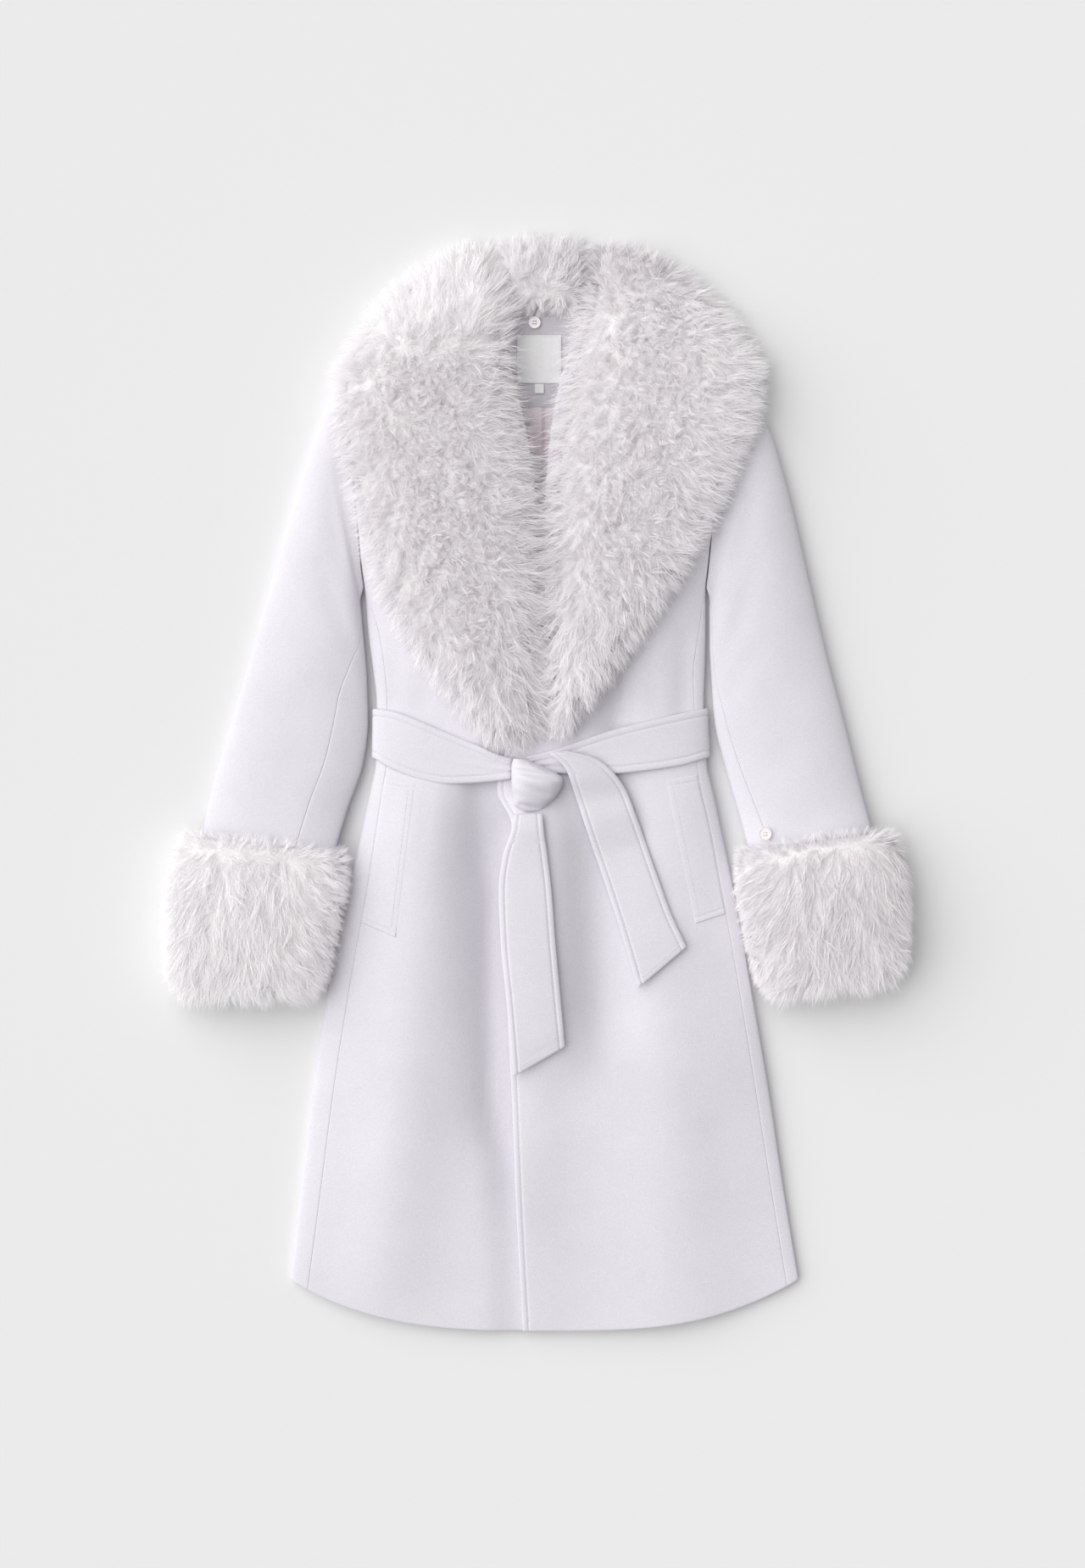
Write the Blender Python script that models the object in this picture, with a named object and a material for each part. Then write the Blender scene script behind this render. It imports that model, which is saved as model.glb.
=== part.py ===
"""Wrap coat in wool cloth with a fur shawl collar and fur cuffs, laid flat with its front up.

Metres, +Z up. The surface that the coat lies on is Z = 0, X runs across the coat and Y from the hem
to the collar. Right and left are the wearer's, so the right front is on the -X side. The belt is tied,
the left front lies over the right one, and the sleeves lie beside the body.
"""

import math
from bisect import bisect_right
from functools import lru_cache
from types import SimpleNamespace

import bmesh
import bpy
from mathutils import Vector
from mathutils.bvhtree import BVHTree

MM = 0.001

# Walls, gaps and small pieces
WOOL = 2.5 * MM
FACING = 1.5 * MM
LINING = 1.0 * MM
LABEL = 1.0 * MM
BELT = 4.5 * MM
WELT = 1.6 * MM
SEAM = 0.3 * MM
SLEEVE_SEAM = 0.8 * MM
REST = 0.8 * MM
WRAP_STEP = WOOL + 2.0 * MM
WRAP_EASE = 40 * MM
BUTTON_WIDTH = 12.5 * MM
BUTTON_THICKNESS = 2.4 * MM
BUTTON_RIM = 1.6 * MM
BUTTON_DISH = 0.7 * MM
BUTTON_SIDES = 24
ROW_STEP = 60 * MM
ARMHOLE_FADE = 3.0
ARMHOLE_GAP = 0.8 * MM
SHARP_ANGLE = math.radians(50)

# A cloth side rolls over to this part of its height, this many times as wide as it is high
ROLLED = 0.65
ROLL_WIDTH = 2.0

# How square a section is: 2 is an ellipse, more is boxier
FLOOR_POWER = 4.0
FLOOR_FLAT = 0.94
FUR_POWER = 2.8
BAND_POWER = 6.0

# How steep the edge of a fur pad or of a band is, and how far round a point it feels what is under it
LAPEL_EDGE = 0.22
LAPEL_SPREAD = 18 * MM
BAND_EDGE = 0.25
BAND_SPREAD = 11 * MM

# Steps for slopes and seams, and the height from which a piece is let down on others
SLOPE_STEP = 1e-4
SEAM_STEP = 1e-6
SEAM_GROWTH = 1.3
DROP_HEIGHT = 1.0

PLAIN_COLUMNS = ("station",)


def unit(name):
    """Tables are in millimetres, apart from counts and columns that hold a share of a width."""
    return 1.0 if name in PLAIN_COLUMNS or name.endswith("share") else MM


class Track:
    """A table of sections in which each named column is a smooth curve along the first one."""

    def __init__(self, columns, rows):
        names = columns.split()
        self.values = {name: [row[i] * unit(name) for row in rows] for i, name in enumerate(names)}
        self.keys = self.values[names[0]]
        self.slopes = {name: self.tangents(self.values[name]) for name in names}

    def tangents(self, values):
        """Slopes at the rows, flat at a turn, so that no curve overshoots its rows."""
        points = list(zip(self.keys, values))
        chords = [(b[1] - a[1]) / (b[0] - a[0]) for a, b in zip(points, points[1:])]
        slopes = [chords[0]]
        for before, after in zip(chords, chords[1:]):
            turning = before * after <= 0
            slopes.append(0.0 if turning else 2 * before * after / (before + after))
        slopes.append(chords[-1])
        return slopes

    def at(self, key):
        """Every column at one place along the table."""
        key = min(max(key, self.keys[0]), self.keys[-1])
        row = min(bisect_right(self.keys, key) - 1, len(self.keys) - 2)
        span = self.keys[row + 1] - self.keys[row]
        t = (key - self.keys[row]) / span
        place = {}
        for name, values in self.values.items():
            low, high = values[row], values[row + 1]
            start, end = self.slopes[name][row] * span, self.slopes[name][row + 1] * span
            place[name] = low + (high - low) * smooth(t) + t * (1 - t) * (start * (1 - t) - end * t)
        return SimpleNamespace(**place)


def smooth(t):
    """An S-curve from 0 to 1."""
    t = min(max(t, 0.0), 1.0)
    return t * t * (3 - 2 * t)


def mix(a, b, t):
    return a + (b - a) * t


# The body, a flat tube: its silhouette, side seams, front edges, the bow of its rows and its heights
BODY = Track(
    "y right_side left_side right_seam left_seam right_edge left_edge bow lift side crown",
    (
        (-517, -257, 272, -239, 260, 49, -15, -53, 0, 7, 14),
        (-420, -246, 256, -226, 244, 45, -21, -42, 0, 8, 19),
        (-314, -233, 240, -212, 227, 41, -26, -30, 0, 9, 23),
        (-200, -215, 220, -194, 208, 38, -31, -18, 0, 10, 25),
        (-101, -194, 202, -176, 190, 33, -30, -9, 0, 10, 26),
        (-38, -180, 189, -166, 178, 24, -27, -4, 1, 11, 26),
        (-6, -173, 182, -161, 170, 15, -42, -2, 4, 12, 26),
        (20, -168, 176, -157, 166, 9, -38, 0, 5.8, 12, 26),
        (84, -167, 173, -156, 163, 1, 2, 0, 5.8, 12, 26),
        (112, -170, 174, -158, 162, 0, 6, 0, 3, 12, 27),
        (157, -176, 175, -165, 168, -1, 7, 0, 0, 11, 28),
        (203, -180, 175, -179.8, 174.8, -1, 7, 4, 0, 11, 28),
        (260, -214, 212, -186, 181, -1, 7, 15, 0, 11, 28),
        (319, -231, 229, -191, 189, -8, 12, 28, 0, 10, 25),
        (372, -226, 226, -190, 191, -24, 23, 45, 0, 7, 17),
        (425, -200, 204, -184, 188, -40, 50, 62, 0, 6, 12),
    ),
)
ARMPIT = 203 * MM
SHOULDER = BODY.keys[-1]

# Soft troughs and ridges of the fronts: the line each runs along, its half width and its rise
FOLDS = (
    # x_top, y_top, x_low, y_low, half_width, rise
    (-58, 2, -36, -420, 36, -12),
    (42, -10, 62, -290, 26, -7),
    (-135, -30, -165, -470, 42, 3),
    (122, -120, 150, -500, 45, 3),
    (84, 40, 92, 160, 16, -8),
    (152, 40, 156, 170, 12, -5),
)
FOLD_FADE = 0.22

# Sleeves from the armhole to the wrist: their outer and inner silhouettes, heights and forearm seam
SLEEVE_COLUMNS = "station outer_x outer_y inner_x inner_y lift side crown seam_share"
SLEEVE_RIGHT = Track(
    SLEEVE_COLUMNS,
    (
        (0, -184, 425, -183, 203, 0, 9, 22, 0.96),
        (1, -213, 400, -185, 190, 0, 10, 25, 0.96),
        (2, -228, 368, -183, 172, 0, 11, 28, 0.965),
        (3, -248, 309, -180, 142, 0, 12, 30, 0.95),
        (4, -272, 225, -177, 104, 0, 12, 30, 0.83),
        (5, -297, 135, -176, 64, 0, 12, 29, 0.74),
        (6, -320, 55, -181, 20, 0, 12, 29, 0.73),
        (7, -338, -6, -197, -27, 3, 14, 30, 0.72),
        (8, -347, -50, -210, -71, 9, 19, 32, 0.71),
        (9, -357, -121, -226, -138, 10, 20, 33, 0.70),
        (10, -360, -178, -233, -190, 10, 20, 33, 0.70),
    ),
)
SLEEVE_LEFT = Track(
    SLEEVE_COLUMNS,
    (
        (0, 188, 425, 178, 203, 0, 9, 22, 0.96),
        (1, 216, 400, 180, 190, 0, 10, 25, 0.96),
        (2, 240, 368, 179, 172, 0, 11, 28, 0.965),
        (3, 259, 309, 179, 142, 0, 12, 30, 0.97),
        (4, 279, 225, 181, 104, 0, 12, 30, 0.96),
        (5, 300, 135, 184, 64, 0, 12, 29, 0.91),
        (6, 321, 55, 194, 20, 0, 12, 29, 0.89),
        (7, 336, -6, 207, -24, 3, 14, 30, 0.86),
        (8, 347, -50, 219, -68, 9, 19, 32, 0.83),
        (9, 360, -116, 234, -134, 10, 20, 33, 0.82),
        (10, 368, -168, 244, -186, 10, 20, 33, 0.82),
    ),
)

# Fur cuffs from the sleeve to the hand: silhouettes, heights, and the tunnel that the sleeve runs in
CUFF_COLUMNS = "station outer_x outer_y inner_x inner_y side crown inset floor roof"
CUFF_RIGHT = Track(
    CUFF_COLUMNS,
    (
        (0, -364, -48, -199, -68, 18, 42, 8, 4.5, 34.5),
        (1, -379, -82, -196, -97, 24, 57, 14, 8, 35.5),
        (2, -386, -143, -207, -150, 25, 62, 14, 8.5, 36.5),
        (3, -382, -200, -219, -203, 23, 57, 13, 8.5, 36.5),
        (4, -366, -229, -238, -229, 18, 44, 8, 6, 34),
    ),
)
CUFF_LEFT = Track(
    CUFF_COLUMNS,
    (
        (0, 364, -44, 208, -66, 18, 42, 8, 4.5, 34.5),
        (1, 379, -73, 205, -95, 24, 57, 14, 8, 35.5),
        (2, 386, -130, 215, -152, 25, 62, 14, 8.5, 36.5),
        (3, 382, -183, 230, -205, 23, 57, 13, 8.5, 36.5),
        (4, 364, -213, 248, -229, 18, 44, 8, 6, 34),
    ),
)

# Fur pads and belt stretches: the two edges of each section and how thick it is there
PAD_COLUMNS = "station first_x first_y second_x second_y loft"
LAPEL_RIGHT = Track(
    PAD_COLUMNS,
    (
        (0, -76, 561, -42, 565, 20),
        (1, -114, 544, -37, 532, 34),
        (2, -158, 509, -29, 494, 42),
        (3, -195, 467, -27, 460, 46),
        (4, -216, 425, -26, 425, 48),
        (5, -218, 381, -19, 381, 48),
        (6, -209, 333, -8, 337, 46),
        (7, -197, 284, -1, 284, 44),
        (8, -182, 227, 3, 227, 42),
        (9, -162, 179, 4, 179, 40),
        (10, -133, 135, 4, 135, 38),
        (11, -100, 91, 4, 95, 34),
        (12, -66, 54, 3, 62, 28),
        (13, -36, 31, -6, 35, 16),
    ),
)
LAPEL_LEFT = Track(
    PAD_COLUMNS,
    (
        (0, 52, 562, 98, 560, 20),
        (1, 51, 532, 137, 543, 34),
        (2, 47, 494, 188, 509, 42),
        (3, 34, 460, 220, 473, 46),
        (4, 26, 425, 241, 434, 48),
        (5, 19, 381, 238, 390, 48),
        (6, 11, 337, 216, 333, 46),
        (7, 8, 284, 193, 280, 44),
        (8, 7, 227, 164, 231, 42),
        (9, 7, 179, 133, 186, 40),
        (10, 7, 135, 102, 143, 38),
        (11, 7, 95, 72, 101, 34),
        (12, 7, 66, 45, 66, 26),
        (13, 12, 45, 28, 46, 14),
    ),
)
COLLAR_BACK = Track(
    PAD_COLUMNS,
    (
        (0, -40, 570, 50, 568, 20),
        (1, -34, 532, 48, 532, 36),
        (2, -27, 500, 45, 500, 30),
        (3, -26, 489, 44, 489, 16),
    ),
)
KNOT = Track(
    PAD_COLUMNS,
    (
        (0, -25, 25, -11, 24, 9),
        (1, -27, 16, 10, 15, 17),
        (2, -27, 3, 27, 3, 21),
        (3, -26, -11, 22, -11, 20),
        (4, -25, -22, 13, -21, 15),
        (5, -16, -30, 4, -29, 8),
    ),
)
TAIL_LONG = Track(
    PAD_COLUMNS,
    (
        (0, -25, -32, 6, -31, 6),
        (1, -27, -48, 7, -47, 6),
        (2, -36, -77, 11, -78, 5),
        (3, -40, -112, 15, -113, 4.5),
        (4, -38, -165, 19, -165, 4.5),
        (5, -32, -226, 24, -220, 4.5),
        (6, -25, -304, 29, -273, 4.5),
    ),
)
TAIL_SHORT = Track(
    PAD_COLUMNS,
    (
        (0, 13, 30, 30, 34, 7),
        (1, 29, 14, 60, 26, 6),
        (2, 39, -13, 90, -4, 5),
        (3, 53, -55, 104, -38, 4.5),
        (4, 71, -107, 122, -89, 4.5),
        (5, 88, -160, 140, -138, 4.5),
        (6, 104, -213, 155, -170, 4.5),
    ),
)

# The belt's lower and upper edge along the front, and round the sides and back
BELT_FRONT = Track(
    "x low high",
    (
        (-168, 26, 77),
        (-150, 15, 74),
        (-118, 4, 62),
        (-92, 0, 51),
        (-65, 1, 40),
        (-26, 5, 26),
        (12, 10, 33),
        (40, 10, 42),
        (76, 10, 54),
        (111, 13, 63),
        (146, 18, 71),
        (174, 26, 77),
    ),
)
BELT_KNOT_RIGHT = -25 * MM
BELT_KNOT_LEFT = 11 * MM
BELT_LOW = 26 * MM
BELT_HIGH = 77 * MM
BELT_TURN_UNDER = 0.55
BELT_JOIN = 0.01

# Pocket welts: along the side seam and along their inner stitch line, from the top to the bottom
WELT_FROM_SEAM = 1.5 * MM
WELT_COLUMNS = "station seam_y inner_x inner_y"
WELT_RIGHT = Track(WELT_COLUMNS, ((0, 6, -127, 0), (1, -145, -147, -160)))
WELT_LEFT = Track(WELT_COLUMNS, ((0, 8, 133, 3), (1, -136, 164, -146)))

# The inside of the neck, on the back panel
NECK_TOP = 485.5 * MM
FACING_LOW = 391 * MM
LINING_LOW = 300 * MM
FACING_TOP_HALF = 36 * MM
FACING_LOW_HALF = 66 * MM
LINING_HALF = 62 * MM
NECK_CENTRE = 2 * MM
PLEAT_X = 5 * MM
PLEAT_WIDTH = 18 * MM
PLEAT_RISE = 1.6 * MM
LABEL_SIZE = (46 * MM, 50 * MM)
LABEL_CENTRE = (0 * MM, 441 * MM)
TAB_SIZE = (9.5 * MM, 10 * MM)
TAB_CENTRE = (0 * MM, 410.4 * MM)
COLLAR_BUTTON = (-3 * MM, 479 * MM)
CUFF_BUTTON = (236 * MM, -53 * MM)

COLOURS = {
    "wool": ((0.80, 0.79, 0.84), 0.9),
    "fur": ((0.82, 0.79, 0.80), 0.85),
    "lining": ((0.62, 0.60, 0.64), 0.6),
    "label": ((0.85, 0.85, 0.86), 0.7),
    "button": ((0.78, 0.70, 0.70), 0.35),
}

for leftover in list(bpy.data.objects):
    bpy.data.objects.remove(leftover, do_unlink=True)
COAT = bpy.data.collections.new("fur_collar_coat")
bpy.context.scene.collection.children.link(COAT)
SHAPES = {}


def add_object(name, shape, finish):
    """Make one named piece of the coat from a finished shape."""
    bmesh.ops.recalc_face_normals(shape, faces=shape.faces)
    if shape.calc_volume(signed=True) < 0.0:
        bmesh.ops.reverse_faces(shape, faces=shape.faces)
    SHAPES[name] = BVHTree.FromBMesh(shape)
    mesh = bpy.data.meshes.new(name)
    shape.to_mesh(mesh)
    shape.free()
    mesh.shade_smooth()
    mesh.set_sharp_from_angle(angle=SHARP_ANGLE)
    colour, roughness = COLOURS[finish]
    material = bpy.data.materials.new(name)
    material.use_nodes = True
    surface = material.node_tree.nodes["Principled BSDF"]
    surface.inputs["Base Color"].default_value = (*colour, 1.0)
    surface.inputs["Roughness"].default_value = roughness
    surface.inputs["Metallic"].default_value = 0.0
    mesh.materials.append(material)
    COAT.objects.link(bpy.data.objects.new(name, mesh))


def slab(name, cells, outer, inner, finish):
    """A closed solid between two surfaces of u and v: a grid, extruded through its thickness."""
    shape = bmesh.new()
    bmesh.ops.create_grid(shape, x_segments=cells[0], y_segments=cells[1], size=0.5)
    extruded = bmesh.ops.extrude_face_region(shape, geom=shape.faces[:], use_keep_orig=True)
    inner_side = {part for part in extruded["geom"] if isinstance(part, bmesh.types.BMVert)}
    for point in shape.verts:
        u, v = point.co.x + 0.5, point.co.y + 0.5
        point.co = inner(u, v) if point in inner_side else outer(u, v)
    add_object(name, shape, finish)


def normal_of(surface, u, v):
    """The direction square to a surface, from its slopes along u and v."""
    along_u = surface(u + SLOPE_STEP, v) - surface(u - SLOPE_STEP, v)
    along_v = surface(u, v + SLOPE_STEP) - surface(u, v - SLOPE_STEP)
    return along_u.cross(along_v).normalized()


def seam_allowance(place, gap=SEAM):
    """How far in from an edge, at place(0), a surface is half a seam gap away from it."""
    amount = SEAM_STEP
    while (place(amount) - place(0.0)).length < gap / 2:
        amount *= SEAM_GROWTH
    return amount


def cloth(name, cells, surface, outward, gap=SEAM):
    """A wool wall under its outer surface, with half a seam gap left free at every edge."""
    low = seam_allowance(lambda amount: surface(0.5, amount))
    high = 1.0 - seam_allowance(lambda amount: surface(0.5, 1.0 - amount))

    @lru_cache(maxsize=None)
    def span(v):
        first = seam_allowance(lambda amount: surface(amount, v), gap)
        last = 1.0 - seam_allowance(lambda amount: surface(1.0 - amount, v), gap)
        return first, last

    def place(u, v):
        v = mix(low, high, v)
        return mix(*span(v), u), v

    def outer(u, v):
        return surface(*place(u, v))

    def inner(u, v):
        u, v = place(u, v)
        return surface(u, v) - normal_of(surface, u, v) * (WOOL * outward)

    slab(name, cells, outer, inner, "wool")


def arch(angle, power):
    """Across a section from one side (angle 0) to the other (pi): the share of the width, the rise."""
    reach = math.cos(angle)
    return (1.0 - reach) / 2, max(0.0, 1.0 - abs(reach) ** power) ** (1.0 / power)


def across(angle):
    """The share of the width at an angle, over the top from 0 to pi and back along the floor."""
    return (1.0 - math.cos(angle)) / 2


def share_angle(share):
    """The angle over the top at a share of the width."""
    return math.acos(min(max(1.0 - 2.0 * share, -1.0), 1.0))


def roll(share, width, height):
    """The rise, from 0 to 1, where cloth turns over at a side: a quarter ellipse, wider than high."""
    distance = width * min(share, 1.0 - share)
    left = max(0.0, 1.0 - distance / (ROLL_WIDTH * height))
    return math.sqrt(1.0 - left * left)


def tube_height(place, angle, width):
    """Height of a flat cloth tube: rolled at the sides, crowned on top and flat on the floor."""
    share = across(angle)
    if math.sin(angle) >= 0.0:
        rolled = ROLLED * (place.crown - place.side)
        crowned = (place.crown - place.side - rolled) * 4 * share * (1 - share)
        return place.side + rolled * roll(share, width, rolled) + crowned
    drop = place.side - place.lift
    return place.side - drop * roll(share, width, drop)


def body_point(y, angle):
    """A point on the smooth body, under every fold."""
    place = BODY.at(y)
    share = across(angle)
    width = place.left_side - place.right_side
    x = place.right_side + width * share
    return Vector((x, y + place.bow * 4 * share * (1 - share), tube_height(place, angle, width)))


def body_angle(y, x):
    """The angle over the top of the body at a place across it."""
    place = BODY.at(y)
    return share_angle((x - place.right_side) / (place.left_side - place.right_side))


def fold_rise(x, y):
    """How far the folds move a front up or down at a place."""
    total = 0.0
    for fold in FOLDS:
        x_top, y_top, x_low, y_low, half_width, rise = (figure * MM for figure in fold)
        along = (y - y_top) / (y_low - y_top)
        across = (x - mix(x_top, x_low, along)) / half_width
        fade = smooth(along / FOLD_FADE + 0.5) * smooth((1 - along) / FOLD_FADE)
        total += rise * fade * math.exp(-across * across)
    return total


def front_point(y, angle):
    """A point on the body with the folds that its upper side has."""
    point = body_point(y, angle)
    if math.sin(angle) > 0.0:
        point.z += fold_rise(point.x, point.y) * math.sin(angle)
    return point


def under_front_point(y, angle):
    """A point on the front below, which steps down to pass under the other front's edge."""
    point = front_point(y, angle)
    start = BODY.at(y).left_edge - WRAP_EASE
    point.z -= WRAP_STEP * smooth((point.x - start) / (WRAP_EASE - WOOL))
    return point


def body_rows():
    """The table's own rows, with more between those that are far apart."""
    rows = [BODY.keys[0]]
    for low, high in zip(BODY.keys, BODY.keys[1:]):
        steps = math.ceil((high - low) / ROW_STEP)
        rows += [mix(low, high, (step + 1) / steps) for step in range(steps)]
    return rows


BODY_ROWS = body_rows()
BODY_CELLS = len(BODY_ROWS) - 1


def body_row(v):
    """The height along the coat of a place between the first row and the last one."""
    at = min(max(v, 0.0), 1.0) * BODY_CELLS
    row = min(int(at), BODY_CELLS - 1)
    return mix(BODY_ROWS[row], BODY_ROWS[row + 1], at - row)


def make_fronts():
    def right(u, v):
        y = body_row(v)
        place = BODY.at(y)
        x = mix(place.right_seam, place.right_edge, u)
        return under_front_point(y, body_angle(y, x))

    def left(u, v):
        y = body_row(v)
        place = BODY.at(y)
        x = mix(place.left_edge, place.left_seam, u)
        return front_point(y, body_angle(y, x))

    cloth("front_right", (14, BODY_CELLS), right, 1)
    cloth("front_left", (14, BODY_CELLS), left, 1)


def make_back():
    def around(u, v):
        y = body_row(v)
        place = BODY.at(y)
        if y >= ARMPIT:
            start = 2 * math.pi - body_angle(y, place.left_seam)
            end = 2 * math.pi - body_angle(y, place.right_seam)
        else:
            start = body_angle(y, place.left_seam)
            end = 2 * math.pi + body_angle(y, place.right_seam)
        return front_point(y, mix(start, end, u))

    cloth("back", (22, BODY_CELLS), around, 1)


def sleeve_ring(place, angle):
    """A point on a plain flat tube between a sleeve's two silhouettes."""
    share = across(angle)
    outer = Vector((place.outer_x, place.outer_y))
    inner = Vector((place.inner_x, place.inner_y))
    return Vector((*outer.lerp(inner, share), tube_height(place, angle, (inner - outer).length)))


def armhole_point(angle, side):
    """A point on the armhole, along the front's edge and back along the back's edge."""
    share = across(angle)
    y = mix(SHOULDER, ARMPIT, share)
    seam = BODY.at(y).left_seam if side > 0 else BODY.at(y).right_seam
    over = body_angle(y, seam)
    front, back = front_point(y, over), body_point(y, 2 * math.pi - over)
    edge = front if math.sin(angle) >= 0.0 else back
    middle = (front.z + back.z) / 2
    edge.z = mix(middle, edge.z, roll(share, SHOULDER - ARMPIT, front.z - middle))
    edge.x += side * ARMHOLE_GAP
    return edge


def sleeve_point(track, station, angle, side):
    """A point on a sleeve, which starts on the armhole; side is -1 for the right sleeve, else 1."""
    point = sleeve_ring(track.at(station), angle)
    fade = max(0.0, 1.0 - station / ARMHOLE_FADE) ** 2
    if fade > 0.0:
        point += (armhole_point(angle, side) - sleeve_ring(track.at(0.0), angle)) * fade
    return point


def make_sleeve(name, track, side):
    last = track.keys[-1]

    def top(u, v):
        station = last * (1 - v)
        angle = mix(0.0, share_angle(track.at(station).seam_share), u)
        return sleeve_point(track, station, angle, side)

    def under(u, v):
        station = last * (1 - v)
        angle = mix(share_angle(track.at(station).seam_share), 2 * math.pi, u)
        return sleeve_point(track, station, angle, side)

    cloth("sleeve_top_" + name, (8, 13), top, -side, SLEEVE_SEAM)
    cloth("sleeve_under_" + name, (12, 13), under, -side, SLEEVE_SEAM)


def make_cuff(name, track):
    """A strip of fur sewn into a ring, with its seam on the underside."""
    last = track.keys[-1]

    def ring(u, v, inset, floor, roof):
        place = track.at(last * v)
        width = abs(place.outer_x - place.inner_x)
        gap = 2 * SEAM / width
        angle = mix(-math.pi / 2 + gap, 3 * math.pi / 2 - gap, u)
        top = math.sin(angle) >= 0.0
        share, rise = arch(angle, FUR_POWER if top else FLOOR_POWER)
        share = mix(inset(place) / width, 1 - inset(place) / width, share)
        low = min(1.0, rise / FLOOR_FLAT)
        height = mix(place.side, roof(place), rise) if top else mix(place.side, floor(place), low)
        x = mix(place.outer_x, place.inner_x, share)
        return Vector((x, mix(place.outer_y, place.inner_y, share), height))

    def outer(u, v):
        return ring(u, v, lambda place: 0.0, lambda place: 0.0, lambda place: place.crown)

    def tunnel(u, v):
        return ring(u, v, lambda place: place.inset, lambda place: place.floor, lambda place: place.roof)

    slab("cuff_" + name, (26, 8), outer, tunnel, "fur")


def resting_height(x, y, on, spread):
    """The highest point of the named pieces at a place and just round it, with the gap to lie on it."""
    highest = 0.0
    for dx in (-spread, 0.0, spread):
        for dy in (-spread, 0.0, spread):
            for name in on:
                above = Vector((x + dx, y + dy, DROP_HEIGHT))
                hit = SHAPES[name].ray_cast(above, Vector((0, 0, -1)))[0]
                if hit:
                    highest = max(highest, hit.z + REST)
    return highest


def make_pad(name, track, cells, on, edge, power, spread, finish, stiff=False):
    """A pad or band that lies on other pieces; a stiff one stays level across each section."""
    last = track.keys[-1]

    def place(u, v):
        row = track.at(last * v)
        share, rise = arch(mix(edge, math.pi - edge, u), power)
        x = mix(row.first_x, row.second_x, share)
        y = mix(row.first_y, row.second_y, share)
        return row, x, y, rise

    def base(u, v):
        stops = [step / cells[0] for step in range(cells[0] + 1)] if stiff else [u]
        return max(resting_height(*place(stop, v)[1:3], on, spread) for stop in stops)

    def outer(u, v):
        row, x, y, rise = place(u, v)
        return Vector((x, y, base(u, v) + row.loft * rise))

    def inner(u, v):
        return Vector((*place(u, v)[1:3], base(u, v)))

    slab(name, cells, outer, inner, finish)


def make_belt():
    def band(name, cells, start, end, wraps_back):
        def at(u, v):
            angle = mix(start, end, u)
            x = body_point((BELT_LOW + BELT_HIGH) / 2, angle).x
            edges = BELT_FRONT.at(x)
            low = BELT_LOW if wraps_back else edges.low
            high = BELT_HIGH if wraps_back else edges.high
            return body_point(mix(low, high, v), angle)

        def lifted(amount):
            return lambda u, v: at(u, v) + normal_of(at, u, v) * amount

        slab(name, cells, lifted(REST + BELT), lifted(REST), "wool")

    middle = (BELT_LOW + BELT_HIGH) / 2
    under_right = -BELT_TURN_UNDER
    under_left = math.pi + BELT_TURN_UNDER
    band("belt_front_right", (16, 4), under_right, body_angle(middle, BELT_KNOT_RIGHT), False)
    band("belt_front_left", (16, 4), body_angle(middle, BELT_KNOT_LEFT), under_left, False)
    band("belt_back", (14, 4), under_left + BELT_JOIN, 2 * math.pi + under_right - BELT_JOIN, True)


def make_welt(name, track, seam_column, side, surface):
    """A welt on a front, made from the front's own points moved out."""
    def at(u, v):
        place = track.at(1 - v)
        seam = getattr(BODY.at(place.seam_y), seam_column) - side * WELT_FROM_SEAM
        first, second = (place.inner_x, seam) if side > 0 else (seam, place.inner_x)
        first_y, second_y = place.inner_y, place.seam_y
        if side < 0:
            first_y, second_y = second_y, first_y
        y = mix(first_y, second_y, u)
        row = y - BODY.at(y).bow
        return surface(row, body_angle(row, mix(first, second, u)))

    def lifted(amount):
        return lambda u, v: at(u, v) + normal_of(at, u, v) * amount

    slab("pocket_welt_" + name, (5, 12), lifted(REST + WELT), lifted(REST), "wool")


def plate(name, cells, low, high, half_low, half_high, floor, thickness, finish, relief=None):
    """A flat piece in the neck, level with the back panel's inside."""
    def at(u, v, height):
        x = NECK_CENTRE + mix(-1, 1, u) * mix(half_low, half_high, v)
        return Vector((x, mix(low, high, v), height + (relief(x) if relief else 0.0)))

    slab(
        name,
        cells,
        lambda u, v: at(u, v, floor + thickness),
        lambda u, v: at(u, v, floor),
        finish,
    )


def pleat(x):
    """The lining's spare width, lapped at the centre back: a slow rise and a sharp fall."""
    across = (PLEAT_X - x) / PLEAT_WIDTH
    return PLEAT_RISE * max(0.0, 1 - across) if across >= 0 else 0.0


def make_neck():
    inside = WOOL + SEAM
    plate(
        "neck_facing", (8, 6), FACING_LOW + SEAM, NECK_TOP,
        FACING_LOW_HALF, FACING_TOP_HALF, inside, FACING, "wool",
    )
    plate(
        "lining", (22, 3), LINING_LOW, FACING_LOW,
        LINING_HALF, FACING_LOW_HALF, inside, LINING, "lining", pleat,
    )
    on_facing = inside + FACING + SEAM
    for name, centre, size in (("label", LABEL_CENTRE, LABEL_SIZE), ("size_tab", TAB_CENTRE, TAB_SIZE)):
        low, high = centre[1] - size[1] / 2, centre[1] + size[1] / 2
        plate(name, (4, 4), low, high, size[0] / 2, size[0] / 2, on_facing, LABEL, "label")


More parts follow.
